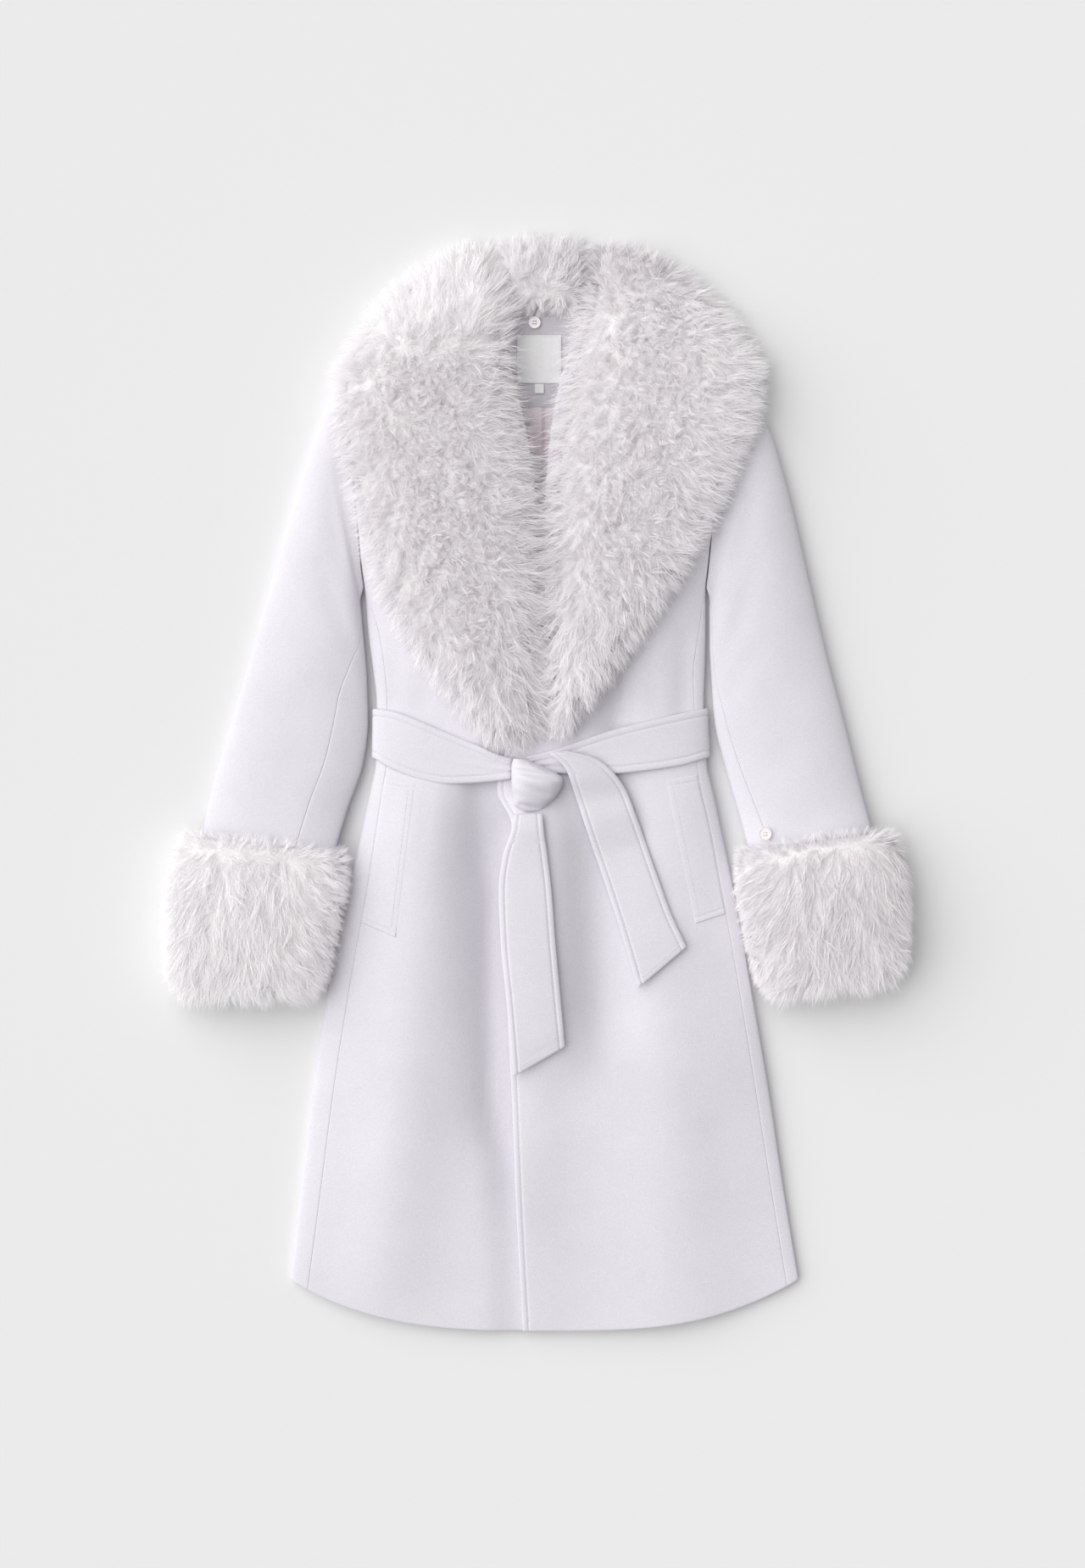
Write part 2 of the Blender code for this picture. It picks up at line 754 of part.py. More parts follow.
def make_button(name, centre, on):
    """A turned button with a raised rim round a dished face."""
    shape = bmesh.new()
    bmesh.ops.create_cone(
        shape,
        cap_ends=True,
        segments=BUTTON_SIDES,
        radius1=BUTTON_WIDTH / 2,
        radius2=BUTTON_WIDTH / 2 - BUTTON_DISH,
        depth=BUTTON_THICKNESS,
    )
    face = max(shape.faces, key=lambda side: side.calc_center_median().z)
    bmesh.ops.inset_region(shape, faces=[face], thickness=BUTTON_RIM, depth=-BUTTON_DISH)
    height = resting_height(*centre, on, BUTTON_WIDTH / 2) + BUTTON_THICKNESS / 2
    bmesh.ops.translate(shape, verts=shape.verts, vec=(*centre, height))
    add_object(name, shape, "button")


make_back()
make_fronts()
make_sleeve("right", SLEEVE_RIGHT, -1)
make_sleeve("left", SLEEVE_LEFT, 1)
make_cuff("right", CUFF_RIGHT)
make_cuff("left", CUFF_LEFT)
make_belt()
make_welt("right", WELT_RIGHT, "right_seam", -1, under_front_point)
make_welt("left", WELT_LEFT, "left_seam", 1, front_point)
make_neck()

CLOTH = [name for name in SHAPES if not name.startswith(("cuff", "belt_back"))]
make_pad("lapel_right", LAPEL_RIGHT, (10, 20), CLOTH, LAPEL_EDGE, FUR_POWER, LAPEL_SPREAD, "fur")
make_pad("lapel_left", LAPEL_LEFT, (10, 20), CLOTH, LAPEL_EDGE, FUR_POWER, LAPEL_SPREAD, "fur")
make_pad("collar_back", COLLAR_BACK, (10, 6), [], LAPEL_EDGE, FUR_POWER, 0.0, "fur")

UNDER_TAILS = ["front_right", "front_left", "belt_front_right", "belt_front_left"]
make_pad("belt_knot", KNOT, (8, 8), UNDER_TAILS, LAPEL_EDGE, FUR_POWER, BAND_SPREAD, "wool", True)
for tail, track in (("belt_tail_long", TAIL_LONG), ("belt_tail_short", TAIL_SHORT)):
    make_pad(tail, track, (6, 14), UNDER_TAILS, BAND_EDGE, BAND_POWER, BAND_SPREAD, "wool", True)

make_button("collar_button", COLLAR_BUTTON, ["neck_facing"])
make_button("cuff_button", CUFF_BUTTON, ["sleeve_top_left", "sleeve_under_left"])
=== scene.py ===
# %% [markdown]
# # A wrap coat with a fur collar, laid flat
# The solids of the coat are already there: a closed wall for every panel, and a plain pad for every
# piece of fur. This lesson dresses them. Each wool panel becomes a fine shell with seams, turned edges,
# topstitching and creases, and each fur pad becomes a soft skin with many thousand hairs combed over it.
# Right and left are the wearer's, so the right front is on the -X side, at the left of the picture.

# %% Load the solids
import math
from functools import partial
from types import SimpleNamespace

import bpy
import numpy as np
from mathutils import Matrix, Vector
from mathutils.bvhtree import BVHTree
from mathutils.kdtree import KDTree


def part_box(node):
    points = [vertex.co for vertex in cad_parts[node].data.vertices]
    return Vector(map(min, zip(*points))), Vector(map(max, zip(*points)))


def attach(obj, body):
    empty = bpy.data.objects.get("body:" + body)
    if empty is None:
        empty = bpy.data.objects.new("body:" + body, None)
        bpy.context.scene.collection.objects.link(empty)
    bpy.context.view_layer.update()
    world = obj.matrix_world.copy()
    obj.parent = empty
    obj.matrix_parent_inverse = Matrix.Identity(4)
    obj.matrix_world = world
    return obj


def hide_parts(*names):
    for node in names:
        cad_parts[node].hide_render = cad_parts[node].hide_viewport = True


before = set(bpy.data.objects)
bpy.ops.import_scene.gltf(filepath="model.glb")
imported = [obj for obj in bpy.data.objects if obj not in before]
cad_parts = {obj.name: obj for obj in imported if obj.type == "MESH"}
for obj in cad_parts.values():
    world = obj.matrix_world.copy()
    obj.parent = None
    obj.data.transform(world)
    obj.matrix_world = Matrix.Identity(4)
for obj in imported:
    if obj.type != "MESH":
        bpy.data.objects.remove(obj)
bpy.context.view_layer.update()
MM = 0.001

# %% [markdown]
# ## The camera
# The coat was photographed from straight above with a long lens, so that nothing leans. The picture is
# 1280 by 1849 pixels and one pixel covers 0.88 mm of the coat. The distance follows from the lens: the
# tall side of the picture falls on 36 mm of sensor.

# %% Camera
PICTURE = (1280, 1849)
PIXEL = 0.88 * MM
CENTRE_PIXEL = (634, 923)
LENS = 100.0
SENSOR = 36.0
COAT_MIDDLE = 20 * MM

lens = bpy.data.cameras.new("camera")
lens.lens = LENS
lens.sensor_width = SENSOR
lens.clip_end = 50.0
camera = bpy.data.objects.new("camera", lens)
bpy.context.scene.collection.objects.link(camera)
camera.location = (
    (PICTURE[0] / 2 - CENTRE_PIXEL[0]) * PIXEL,
    (CENTRE_PIXEL[1] - PICTURE[1] / 2) * PIXEL,
    LENS / SENSOR * PICTURE[1] * PIXEL + COAT_MIDDLE,
)
bpy.context.scene.camera = camera
print("camera height:", round(camera.location.z, 3), "m")

# %% [markdown]
# ## The studio
# The coat lies on a pale grey floor. A very wide, soft sun, like a large softbox, comes from the left and a
# little from the collar's end, so every fold has a bright left flank and shadows have no edge. A plain
# white sky fills them. The Standard view keeps the greys as they are measured. Light gets lost in white
# fur unless it may bounce many times from hair to hair, so diffuse light gets eight bounces.

# %% Floor and light
FLOOR_GREY = 0.80
SUN_TURN, SUN_HEIGHT, SUN_WIDTH = (math.radians(angle) for angle in (158, 48, 92))
SUN_STRENGTH, SKY_STRENGTH = 3.12, 0.30
DIFFUSE_BOUNCES = 8


def settle(sockets, **values):
    """Constant values on sockets, where an underscore stands for a space in a socket's name."""
    for name, value in values.items():
        sockets[name.replace("_", " ")].default_value = value


bpy.ops.mesh.primitive_plane_add(size=14.0, location=(0, 0, -0.0002))
floor = bpy.context.object
floor.name = "floor"
paper = bpy.data.materials.new("floor_paper")
paper.use_nodes = True
settle(
    paper.node_tree.nodes["Principled BSDF"].inputs,
    Base_Color=(FLOOR_GREY, FLOOR_GREY, FLOOR_GREY, 1.0), Roughness=1.0, Specular_IOR_Level=0.0,
)
floor.data.materials.append(paper)

sun = bpy.data.lights.new("sun", "SUN")
sun.energy = SUN_STRENGTH
sun.angle = SUN_WIDTH
sun_object = bpy.data.objects.new("sun", sun)
bpy.context.scene.collection.objects.link(sun_object)
level = math.cos(SUN_HEIGHT)
towards_sun = Vector((level * math.cos(SUN_TURN), level * math.sin(SUN_TURN), math.sin(SUN_HEIGHT)))
sun_object.rotation_euler = towards_sun.to_track_quat("Z", "Y").to_euler()

sky = bpy.data.worlds.new("sky")
sky.use_nodes = True
settle(sky.node_tree.nodes["Background"].inputs, Color=(1.0, 1.0, 1.0, 1.0), Strength=SKY_STRENGTH)
bpy.context.scene.world = sky
bpy.context.scene.view_settings.view_transform = "Standard"
bpy.context.scene.cycles.max_bounces = DIFFUSE_BOUNCES + 1
bpy.context.scene.cycles.diffuse_bounces = DIFFUSE_BOUNCES
print("sun from", [round(v, 2) for v in towards_sun])

# %% [markdown]
# ## Finishes for cloth
# The wool is a dense felted coating: nearly one colour, a pale lilac white, but made of fibres of
# slightly different whites, with a short nap that catches light at a grazing angle. A coarse noise gives
# the cloudy shade, a fine one the single fibres, and two stretched ones the threads of the weave under
# the nap, which only shows as bump. A constant sheen stands for the nap.

# %% Finish tool
class Finish:
    """A node material with a Principled shader, and tools that add nodes to it."""

    def __init__(self, name, roughness, **constants):
        self.material = bpy.data.materials.new(name)
        self.material.use_nodes = True
        self.nodes = self.material.node_tree.nodes
        self.link = self.material.node_tree.links.new
        self.surface = self.nodes["Principled BSDF"].inputs
        settle(self.surface, Roughness=roughness, **constants)

    def place(self):
        """The object's own coordinates."""
        return self.nodes.new("ShaderNodeTexCoord").outputs["Object"]

    def grain(self, scale, stretch=(1, 1, 1), turn=0.0, detail=3.0):
        """A noise at a number of grains to the metre, stretched and turned about Z."""
        mapping = self.nodes.new("ShaderNodeMapping")
        noise = self.nodes.new("ShaderNodeTexNoise")
        settle(mapping.inputs, Scale=stretch, Rotation=(0, 0, turn))
        settle(noise.inputs, Scale=scale, Detail=detail)
        self.link(self.place(), mapping.inputs["Vector"])
        self.link(mapping.outputs["Vector"], noise.inputs["Vector"])
        return noise.outputs["Fac"]

    def ramp(self, value, *stops):
        """A colour ramp through (position, colour) stops."""
        node = self.nodes.new("ShaderNodeValToRGB")
        while len(node.color_ramp.elements) < len(stops):
            node.color_ramp.elements.new(0.5)
        for element, (position, colour) in zip(node.color_ramp.elements, stops):
            element.position = position
            element.color = (*colour, 1.0)
        self.link(value, node.inputs["Fac"])
        return node.outputs["Color"]

    def tint(self, value, *stops):
        """The surface's colour, from a ramp."""
        self.link(self.ramp(value, *stops), self.surface["Base Color"])

    def arithmetic(self, operation, first, second):
        """One sum, product or the like of two sockets, or of a socket and a number."""
        node = self.nodes.new("ShaderNodeMath")
        node.operation = operation
        for socket, value in zip(node.inputs, (first, second)):
            if isinstance(value, (int, float)):
                socket.default_value = value
            else:
                self.link(value, socket)
        return node.outputs["Value"]

    def total(self, *parts):
        """The sum of (weight, socket) parts."""
        weighed = [self.arithmetic("MULTIPLY", value, weight) for weight, value in parts]
        result = weighed[0]
        for part in weighed[1:]:
            result = self.arithmetic("ADD", result, part)
        return result

    def bump(self, height, distance, strength):
        """Bump from a height value."""
        node = self.nodes.new("ShaderNodeBump")
        settle(node.inputs, Distance=distance, Strength=strength)
        self.link(height, node.inputs["Height"])
        self.link(node.outputs["Normal"], self.surface["Normal"])


print("finish tools:", [name for name in vars(Finish) if not name.startswith("_")])

# %% Wool
def wool_finish(name, dark, light):
    wool = Finish(name, 0.95, Specular_IOR_Level=0.15, Sheen_Weight=0.12, Sheen_Roughness=0.55)
    clouds = wool.grain(22.0, detail=4.0)
    fibres = wool.grain(620.0, detail=2.0)
    weft = wool.grain(260.0, (1.0, 5.0, 1.0), 0.12)
    warp = wool.grain(240.0, (5.0, 1.0, 1.0), -0.1)
    shade = wool.total((0.55, fibres), (0.25, clouds), (0.12, weft), (0.12, warp))
    wool.tint(shade, (0.30, dark), (0.66, light))
    wool.bump(wool.total((1.0, weft), (1.0, warp), (1.0, fibres)), 0.5 * MM, 0.22)
    return wool.material


WOOL_CLOTH = wool_finish("wool_cloth", (0.685, 0.658, 0.714), (0.777, 0.753, 0.804))
print("finish:", WOOL_CLOTH.name)

# %% [markdown]
# ## Curves through the pattern's tables
# A coat is drafted from measurements at a few heights. Each table below has a row for a height or a
# station and a column for a measurement in millimetres, and a smooth curve runs through every column
# without overshooting. The solids were made from the same figures, so the shells fit them.

# %% Tables and curves
def smooth(t):
    """An S-curve from 0 to 1."""
    t = np.clip(t, 0.0, 1.0)
    return t * t * (3 - 2 * t)


def mix(a, b, t):
    return a + (b - a) * t


class Track:
    """A table of sections in which each named column is a smooth curve along the first one."""

    def __init__(self, columns, rows):
        self.names = columns.split()
        plain = [name == "station" or name.endswith("share") for name in self.names]
        table = np.array([row.split() for row in rows.strip().splitlines()], float)
        self.table = table * np.where(plain, 1.0, MM)
        self.keys = self.table[:, 0]
        chords = np.diff(self.table, axis=0) / np.diff(self.keys)[:, None]
        product, total = chords[:-1] * chords[1:], chords[:-1] + chords[1:]
        turning = product <= 0
        middle = np.where(turning, 0.0, 2 * product / np.where(turning, 1.0, total))
        self.slopes = np.vstack([chords[:1], middle, chords[-1:]])

    def at(self, key):
        """Every column at one place, or at many places, along the table."""
        key = np.clip(np.asarray(key, float), self.keys[0], self.keys[-1])
        row = np.clip(np.searchsorted(self.keys, key, side="right") - 1, 0, len(self.keys) - 2)
        span = (self.keys[row + 1] - self.keys[row])[..., None]
        t = (key - self.keys[row])[..., None] / span
        low, high = self.table[row], self.table[row + 1]
        start, end = self.slopes[row] * span, self.slopes[row + 1] * span
        value = low + (high - low) * smooth(t) + t * (1 - t) * (start * (1 - t) - end * t)
        return SimpleNamespace(**{name: value[..., i] for i, name in enumerate(self.names)})


print("halfway along an S-curve:", smooth(0.5))

# %% Body table
BODY = Track("y right_side left_side right_seam left_seam right_edge left_edge bow lift side crown", """
-517 -257 272 -239 260 49 -15 -53 0 7 14
-420 -246 256 -226 244 45 -21 -42 0 8 19
-314 -233 240 -212 227 41 -26 -30 0 9 23
-200 -215 220 -194 208 38 -31 -18 0 10 25
-101 -194 202 -176 190 33 -30 -9 0 10 26
-38 -180 189 -166 178 24 -27 -4 1 11 26
-6 -173 182 -161 170 15 -42 -2 4 12 26
20 -168 176 -157 166 9 -38 0 5.8 12 26
84 -167 173 -156 163 1 2 0 5.8 12 26
112 -170 174 -158 162 0 6 0 3 12 27
157 -176 175 -165 168 -1 7 0 0 11 28
203 -180 175 -179.8 174.8 -1 7 4 0 11 28
260 -214 212 -186 181 -1 7 15 0 11 28
319 -231 229 -191 189 -8 12 28 0 10 25
372 -226 226 -190 191 -24 23 45 0 7 17
425 -200 204 -184 188 -40 50 62 0 6 12
""")
HEM, ARMPIT, SHOULDER = BODY.keys[0], 203 * MM, BODY.keys[-1]
print("coat from hem to shoulder:", round(SHOULDER - HEM, 3), "m")

# %% [markdown]
# ## The body as a flat tube
# Laid flat, the body is a tube pressed down: flat below, crowned above, and rolled over at the sides.
# A place on it is a height along the coat and an angle round the tube, 0 at the right side, a quarter
# turn more in the middle of the front, a half turn at the left side and the rest along the floor.

# %% Body surface
WOOL = 2.5 * MM
ROLLED = 0.65
ROLL_WIDTH = 2.0
SOFT_ROLL = 2.8


def across(angle):
    """The share of the width at an angle."""
    return (1.0 - np.cos(angle)) / 2


def share_angle(share):
    """The angle over the top at a share of the width."""
    return np.arccos(np.clip(1.0 - 2.0 * share, -1.0, 1.0))


def roll(share, width, height):
    """The rise, from 0 to 1, where cloth turns over at a side."""
    left = np.maximum(0.0, 1.0 - width * np.minimum(share, 1.0 - share) / (ROLL_WIDTH * height))
    return np.sqrt(1.0 - left * left)


def tube_height(place, angle, width):
    """Height of a flat cloth tube: rolled at the sides, crowned on top and flat on the floor."""
    share = across(angle)
    rolled = ROLLED * (place.crown - place.side)
    crowned = (place.crown - place.side - rolled) * 4 * share * (1 - share)
    top = place.side + rolled * roll(share, width, SOFT_ROLL * rolled) + crowned
    drop = place.side - place.lift
    return np.where(np.sin(angle) >= 0.0, top, place.side - drop * roll(share, width, drop))


def bow_at(place, share):
    """How far a row bows out: the hem is nearly straight in the middle and turns up towards the sides."""
    return place.bow * np.where(place.bow < 0, 1 - np.abs(2 * share - 1) ** 3, 4 * share * (1 - share))


def body_point(y, angle):
    """Points on the smooth body, under every fold."""
    place = BODY.at(y)
    share = across(angle)
    width = place.left_side - place.right_side
    x = place.right_side + width * share
    return np.stack([x, y + bow_at(place, share), tube_height(place, angle, width)], axis=-1)


def body_share(y, x):
    place = BODY.at(y)
    return (x - place.right_side) / (place.left_side - place.right_side)


def body_angle(y, x):
    """The angle over the top of the body at a place across it."""
    return share_angle(body_share(y, x))


def body_row(x, y):
    """The row, before it bows, that passes through a place."""
    row = y
    for _ in range(4):
        row = y - bow_at(BODY.at(row), body_share(row, x))
    return row


print("waist width:", round(float(np.ptp(body_point(50 * MM, np.array([0.0, math.pi]))[:, 0])), 3), "m")

# %% [markdown]
# ## Folds of the fronts
# Cloth that is tied in at the waist and spreads below falls in soft troughs and ridges. The large ones are
# in the solids too. Creases add what is finer: the swell beside the large trough, hollows by the belt's
# tails, pulls that run out from the belt, and slack on the chest. Each is a line with a half width and a
# rise that fades out towards both ends. However deep they add up, no front sinks into the back panel.

# %% Fold lines
FOLD_FADE = 0.22
FOLDS = (
    # x_top, y_top, x_low, y_low, half_width, rise
    (-58, 2, -36, -420, 36, -12),
    (42, -10, 62, -290, 26, -7),
    (-135, -30, -165, -470, 42, 3),
    (122, -120, 150, -500, 45, 3),
    (84, 40, 92, 160, 16, -8),
    (152, 40, 156, 170, 12, -5),
)
CREASES = (
    (-108, 20, -172, -600, 48, 10),
    (-64, 12, -60, -110, 13, -2.5),
    (82, 14, 88, -300, 30, -7),
    (150, -260, 160, -760, 60, 5.5),
    (232, -60, 272, -700, 70, -7),
    (-112, 6, -122, -90, 8, -0.8),
    (-150, 80, -146, 190, 7, -1.2),
    (-118, 76, -108, 170, 10, -1.2),
    (120, 76, 112, 150, 9, -1.2),
)


def fold_rise(lines, x, y):
    """How far a set of folds moves a front up or down."""
    total = np.zeros_like(x)
    for fold in lines:
        x_top, y_top, x_low, y_low, half_width, rise = (figure * MM for figure in fold)
        along = (y - y_top) / (y_low - y_top)
        aside = (x - mix(x_top, x_low, along)) / half_width
        fade = smooth(along / FOLD_FADE + 0.5) * smooth((1 - along) / FOLD_FADE)
        total += rise * fade * np.exp(-aside * aside)
    return total


def waves(x, y, seed, length, count=6):
    """A slow, uneven rise and fall from -1 to 1, from a few waves that run in different directions."""
    dice = np.random.default_rng(seed)
    total = np.zeros_like(x)
    for _ in range(count):
        turn, phase = dice.uniform(0, 2 * math.pi, 2)
        pace = 2 * math.pi / (length * dice.uniform(0.7, 1.5))
        total += np.sin(pace * (x * math.cos(turn) + y * math.sin(turn)) + phase)
    return total / math.sqrt(count * 2.0) / 1.5


print("fold lines:", len(FOLDS), "creases:", len(CREASES))

# %% Folded body
LOWEST, SOFT = 5.2 * MM, 2.0 * MM
SLACK = 0.6 * MM


def held_up(height):
    """Heights kept, softly, above the back panel."""
    over = height - LOWEST
    return LOWEST + (over + np.sqrt(over * over + SOFT * SOFT)) / 2


def front_point(y, angle, fine=True, relief=None):
    """Points on the body with the folds that its upper side has, and a panel's own relief."""
    point = body_point(y, angle)
    x, along = point[..., 0], point[..., 1]
    upper = np.maximum(np.sin(angle), 0.0)
    height = point[..., 2] + fold_rise(FOLDS, x, along) * upper
    if fine:
        height += fold_rise(CREASES, x, along) * upper
        height += (waves(x, along, 3, 130 * MM) - 1.0) * SLACK * upper
        if relief is not None:
            height += relief(x, along)
        height = mix(height, held_up(height), np.minimum(4 * upper, 1.0))
    point[..., 2] = height
    return point


middle = front_point(np.array([-200 * MM]), np.array([math.pi / 2]))
print("front at mid thigh:", round(float(middle[0, 2]) * 1000, 1), "mm above the floor")

# %% [markdown]
# ## A shell from a grid of points
# Cloth is a wall, so each panel is a closed shell: an outer grid, an inner grid one wall lower, and a rim
# that joins them. Towards a free edge the wall thins in a quarter round, which makes a turned edge. Where
# two panels meet it thins less and leaves a fine groove. A topstitch pulls the wall in along a line
# beside the edge, so grooves are pressed in at a distance from it.

# %% Mesh tool
def lengths(grid, axis):
    """Running length along the rows or columns of a grid."""
    steps = np.linalg.norm(np.diff(grid, axis=axis), axis=2)
    start = np.zeros_like(np.take(steps, [0], axis=axis))
    return np.concatenate([start, np.cumsum(steps, axis=axis)], axis=axis)


def grid_normals(grid, outward=1.0):
    """Unit normals of a grid whose columns run along u and rows along v."""
    normal = np.cross(np.gradient(grid, axis=1), np.gradient(grid, axis=0)) * outward
    return normal / np.maximum(np.linalg.norm(normal, axis=2, keepdims=True), 1e-12)


def mesh_piece(name, points, faces, finish, slot, node=None):
    """A piece from arrays of points and of faces. It may take the place of a solid."""
    mesh = bpy.data.meshes.new(name)
    corners = np.concatenate([block.ravel() for block in faces]).astype(np.int32)
    sizes = np.concatenate([np.full(len(block), block.shape[1]) for block in faces])
    starts = np.concatenate([[0], np.cumsum(sizes)[:-1]]).astype(np.int32)
    mesh.vertices.add(len(points))
    mesh.vertices.foreach_set("co", np.ascontiguousarray(points, np.float32).ravel())
    mesh.loops.add(len(corners))
    mesh.loops.foreach_set("vertex_index", corners)
    mesh.polygons.add(len(sizes))
    mesh.polygons.foreach_set("loop_start", starts)
    mesh.update(calc_edges=True)
    mesh.validate()
    mesh.shade_smooth()
    mesh.materials.append(finish)
    piece = bpy.data.objects.new(name, mesh)
    bpy.context.scene.collection.objects.link(piece)
    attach(piece, "root")
    if node:
        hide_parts(node)
    return piece


def closed(name, node, outer, inner, finish, slot, outward=1.0):
    """A closed piece between two grids of the same size."""
    rows, columns = outer.shape[:2]
    index = np.arange(rows * columns).reshape(rows, columns)
    under = index + rows * columns
    faces = np.concatenate([
        np.stack([corner.ravel() for corner in quad], axis=1)
        for quad in (
            (index[:-1, :-1], index[:-1, 1:], index[1:, 1:], index[1:, :-1]),
            (under[:-1, :-1], under[1:, :-1], under[1:, 1:], under[:-1, 1:]),
            (index[0, 1:], index[0, :-1], under[0, :-1], under[0, 1:]),
            (index[1:, -1], index[:-1, -1], under[:-1, -1], under[1:, -1]),
            (index[-1, :-1], index[-1, 1:], under[-1, 1:], under[-1, :-1]),
            (index[:-1, 0], index[1:, 0], under[1:, 0], under[:-1, 0]),
        )
    ])
    if outward < 0:
        faces = faces[:, ::-1]
    points = np.concatenate([outer.reshape(-1, 3), inner.reshape(-1, 3)])
    return mesh_piece(name, points, [faces], finish, slot, node)


print("mesh tools:", lengths.__name__, grid_normals.__name__, mesh_piece.__name__, closed.__name__)

# %% Shell tool
SEAM_TURN = 1.2 * MM
SEAM_WALL, EDGE_WALL = 0.80, 0.3
GROOVE_WIDTH = 0.9 * MM
BORDERS = ("first", "last", "low", "high")
STITCHED = np.array((0, 0.4, 1.0, 1.8, 3.0, 4.4, 5.2, 5.7, 6.2, 6.7, 7.5, 9, 12, 17)) * MM
PLAIN = np.array((0, 0.4, 1.0, 1.8, 3.5, 7, 12)) * MM


def shell(name, node, outside, wall, finish=WOOL_CLOTH, slot="wool", outward=1.0, edges=None, grooves=()):
    """A cloth wall under a grid. edges gives the turn of each border, grooves (border, inset, depth)."""
    normal = grid_normals(outside, outward)
    along_u, along_v = lengths(outside, 1), lengths(outside, 0)
    inset = dict(zip(BORDERS, (along_u, along_u[:, -1:] - along_u, along_v, along_v[-1:] - along_v)))
    fullness = np.ones(outside.shape[:2])
    for border, turn in {**dict.fromkeys(BORDERS, SEAM_TURN), **(edges or {})}.items():
        left = np.maximum(0.0, 1.0 - inset[border] / turn)
        thin = SEAM_WALL if turn == SEAM_TURN else EDGE_WALL
        fullness *= mix(thin, 1.0, np.sqrt(1.0 - left * left))
    middle = outside - normal * (wall / 2)
    pressed = np.zeros(outside.shape[:2])
    for border, distance, depth in grooves:
        pressed += depth * np.exp(-(((inset[border] - distance) / GROOVE_WIDTH) ** 2))
    outer = middle + normal * (fullness * wall / 2 - pressed)[..., None]
    inner = middle - normal * (fullness * wall / 2)[..., None]
    piece = closed(name, node, outer, inner, finish, slot, outward)
    return SimpleNamespace(piece=piece, grid=outer, normal=normal, inset=inset)


def spread(first, second, fine_first, fine_second, cells):
    """Places from one border to the other, for one row or many: close where stitched, even between."""
    first, second = np.atleast_1d(first)[:, None], np.atleast_1d(second)[:, None]
    near, far = ((STITCHED if fine else PLAIN)[None] for fine in (fine_first, fine_second))
    middle = np.linspace(0, 1, cells + 1)[1:-1][None]
    return np.concatenate([
        first + near,
        mix(first + near[:, -1:], second - far[:, -1:], middle),
        second - far[:, ::-1],
    ], axis=1)


def faces_of(*made):
    return [len(part.piece.data.polygons) for part in made]


print("lines beside a stitched border:", len(STITCHED))

# %% [markdown]
# ## The two fronts
# The left front lies over the right one. Its free edge is turned and topstitched six millimetres in. Below
# the belt it stands up along that edge and bridges half of the large trough, while the right front dips
# towards it and passes under. Beside the lapels' lower end both fronts sink a little under the fur.

# %% Fronts
SEAM = 0.2 * MM
STITCH_INSET, GROOVE = 6.0 * MM, 0.55 * MM
TURNED = 2.6 * MM
WRAP_STEP, WRAP_EASE = WOOL + 2.0 * MM, 40 * MM
LAP_RISE, LAP_FLAT, LAP_FALL = 13 * MM, 40 * MM, 62 * MM
LOW_RISE, LOW_WIDTH = 8 * MM, 46 * MM
BRIDGED = 0.5
DIP, DIP_WIDTH = 9 * MM, 30 * MM
RECESS_EDGE, RECESS_STEP = 86 * MM, 7 * MM
RECESS_LOW, RECESS_HIGH, RECESS_SIDE = 44 * MM, 190 * MM, -60 * MM
UNDER_BELT, LAP_END, SWELL_END, DIP_END = -8 * MM, -330 * MM, -600 * MM, -540 * MM
ROWS = spread(HEM, SHOULDER - SEAM, False, False, 104)[0]


def recess(x, y):
    """Both fronts sink beside the lapels' lower end."""
    window = smooth((y - RECESS_LOW) / (16 * MM)) * smooth((RECESS_HIGH - y) / (50 * MM))
    window = window * smooth((x - RECESS_SIDE) / (40 * MM))
    return -RECESS_STEP * smooth((RECESS_EDGE - x) / (7 * MM) + 0.5) * window


def below_belt(y):
    return smooth((UNDER_BELT - y) / (45 * MM))


def left_relief(x, y):
    """The left front bridges the large trough, stands up along its edge and steps down beside the tail."""
    beyond = x - BODY.at(y).left_edge
    high = smooth((y - LAP_END) / (70 * MM))
    step = LAP_RISE * high * smooth((LAP_FLAT + LAP_FALL - beyond) / LAP_FALL)
    low = (1 - high) * smooth((y - SWELL_END) / (180 * MM))
    swell = LOW_RISE * low * np.exp(-((beyond / LOW_WIDTH) ** 2))
    return (step + swell) * below_belt(y) - BRIDGED * fold_rise(FOLDS[:1], x, y) + recess(x, y)


def right_relief(x, y):
    """The right front dips towards the left one's edge and passes under it."""
    beyond = x - BODY.at(y).left_edge
    dip = DIP * np.exp(-((beyond / DIP_WIDTH) ** 2)) * below_belt(y) * smooth((y - DIP_END) / (220 * MM))
    return recess(x, y) - dip - WRAP_STEP * smooth((beyond + WRAP_EASE) / (WRAP_EASE - WOOL))


def make_front(side, first, second, border, relief):
    place = BODY.at(ROWS)
    start, end = getattr(place, first) + SEAM / 2, getattr(place, second) - SEAM / 2
    x = spread(start, end, border == "first", border == "last", 30)
    y = np.repeat(ROWS[:, None], x.shape[1], axis=1)
    return shell(
        f"coat_front_{side}", f"front_{side}", front_point(y, body_angle(y, x), True, relief), WOOL,
        edges={border: TURNED, "low": TURNED}, grooves=[(border, STITCH_INSET, GROOVE)],
    )


front_right = make_front("right", "right_seam", "right_edge", "last", right_relief)
front_left = make_front("left", "left_edge", "left_seam", "first", left_relief)
print("fronts:", faces_of(front_right, front_left), "faces")

# %% [markdown]
# ## The back
# One panel makes the back and both sides. It comes round from the left side seam on top, over the rolled
# side, along the floor and up again to the right side seam. Above the armpit it ends at the armholes.

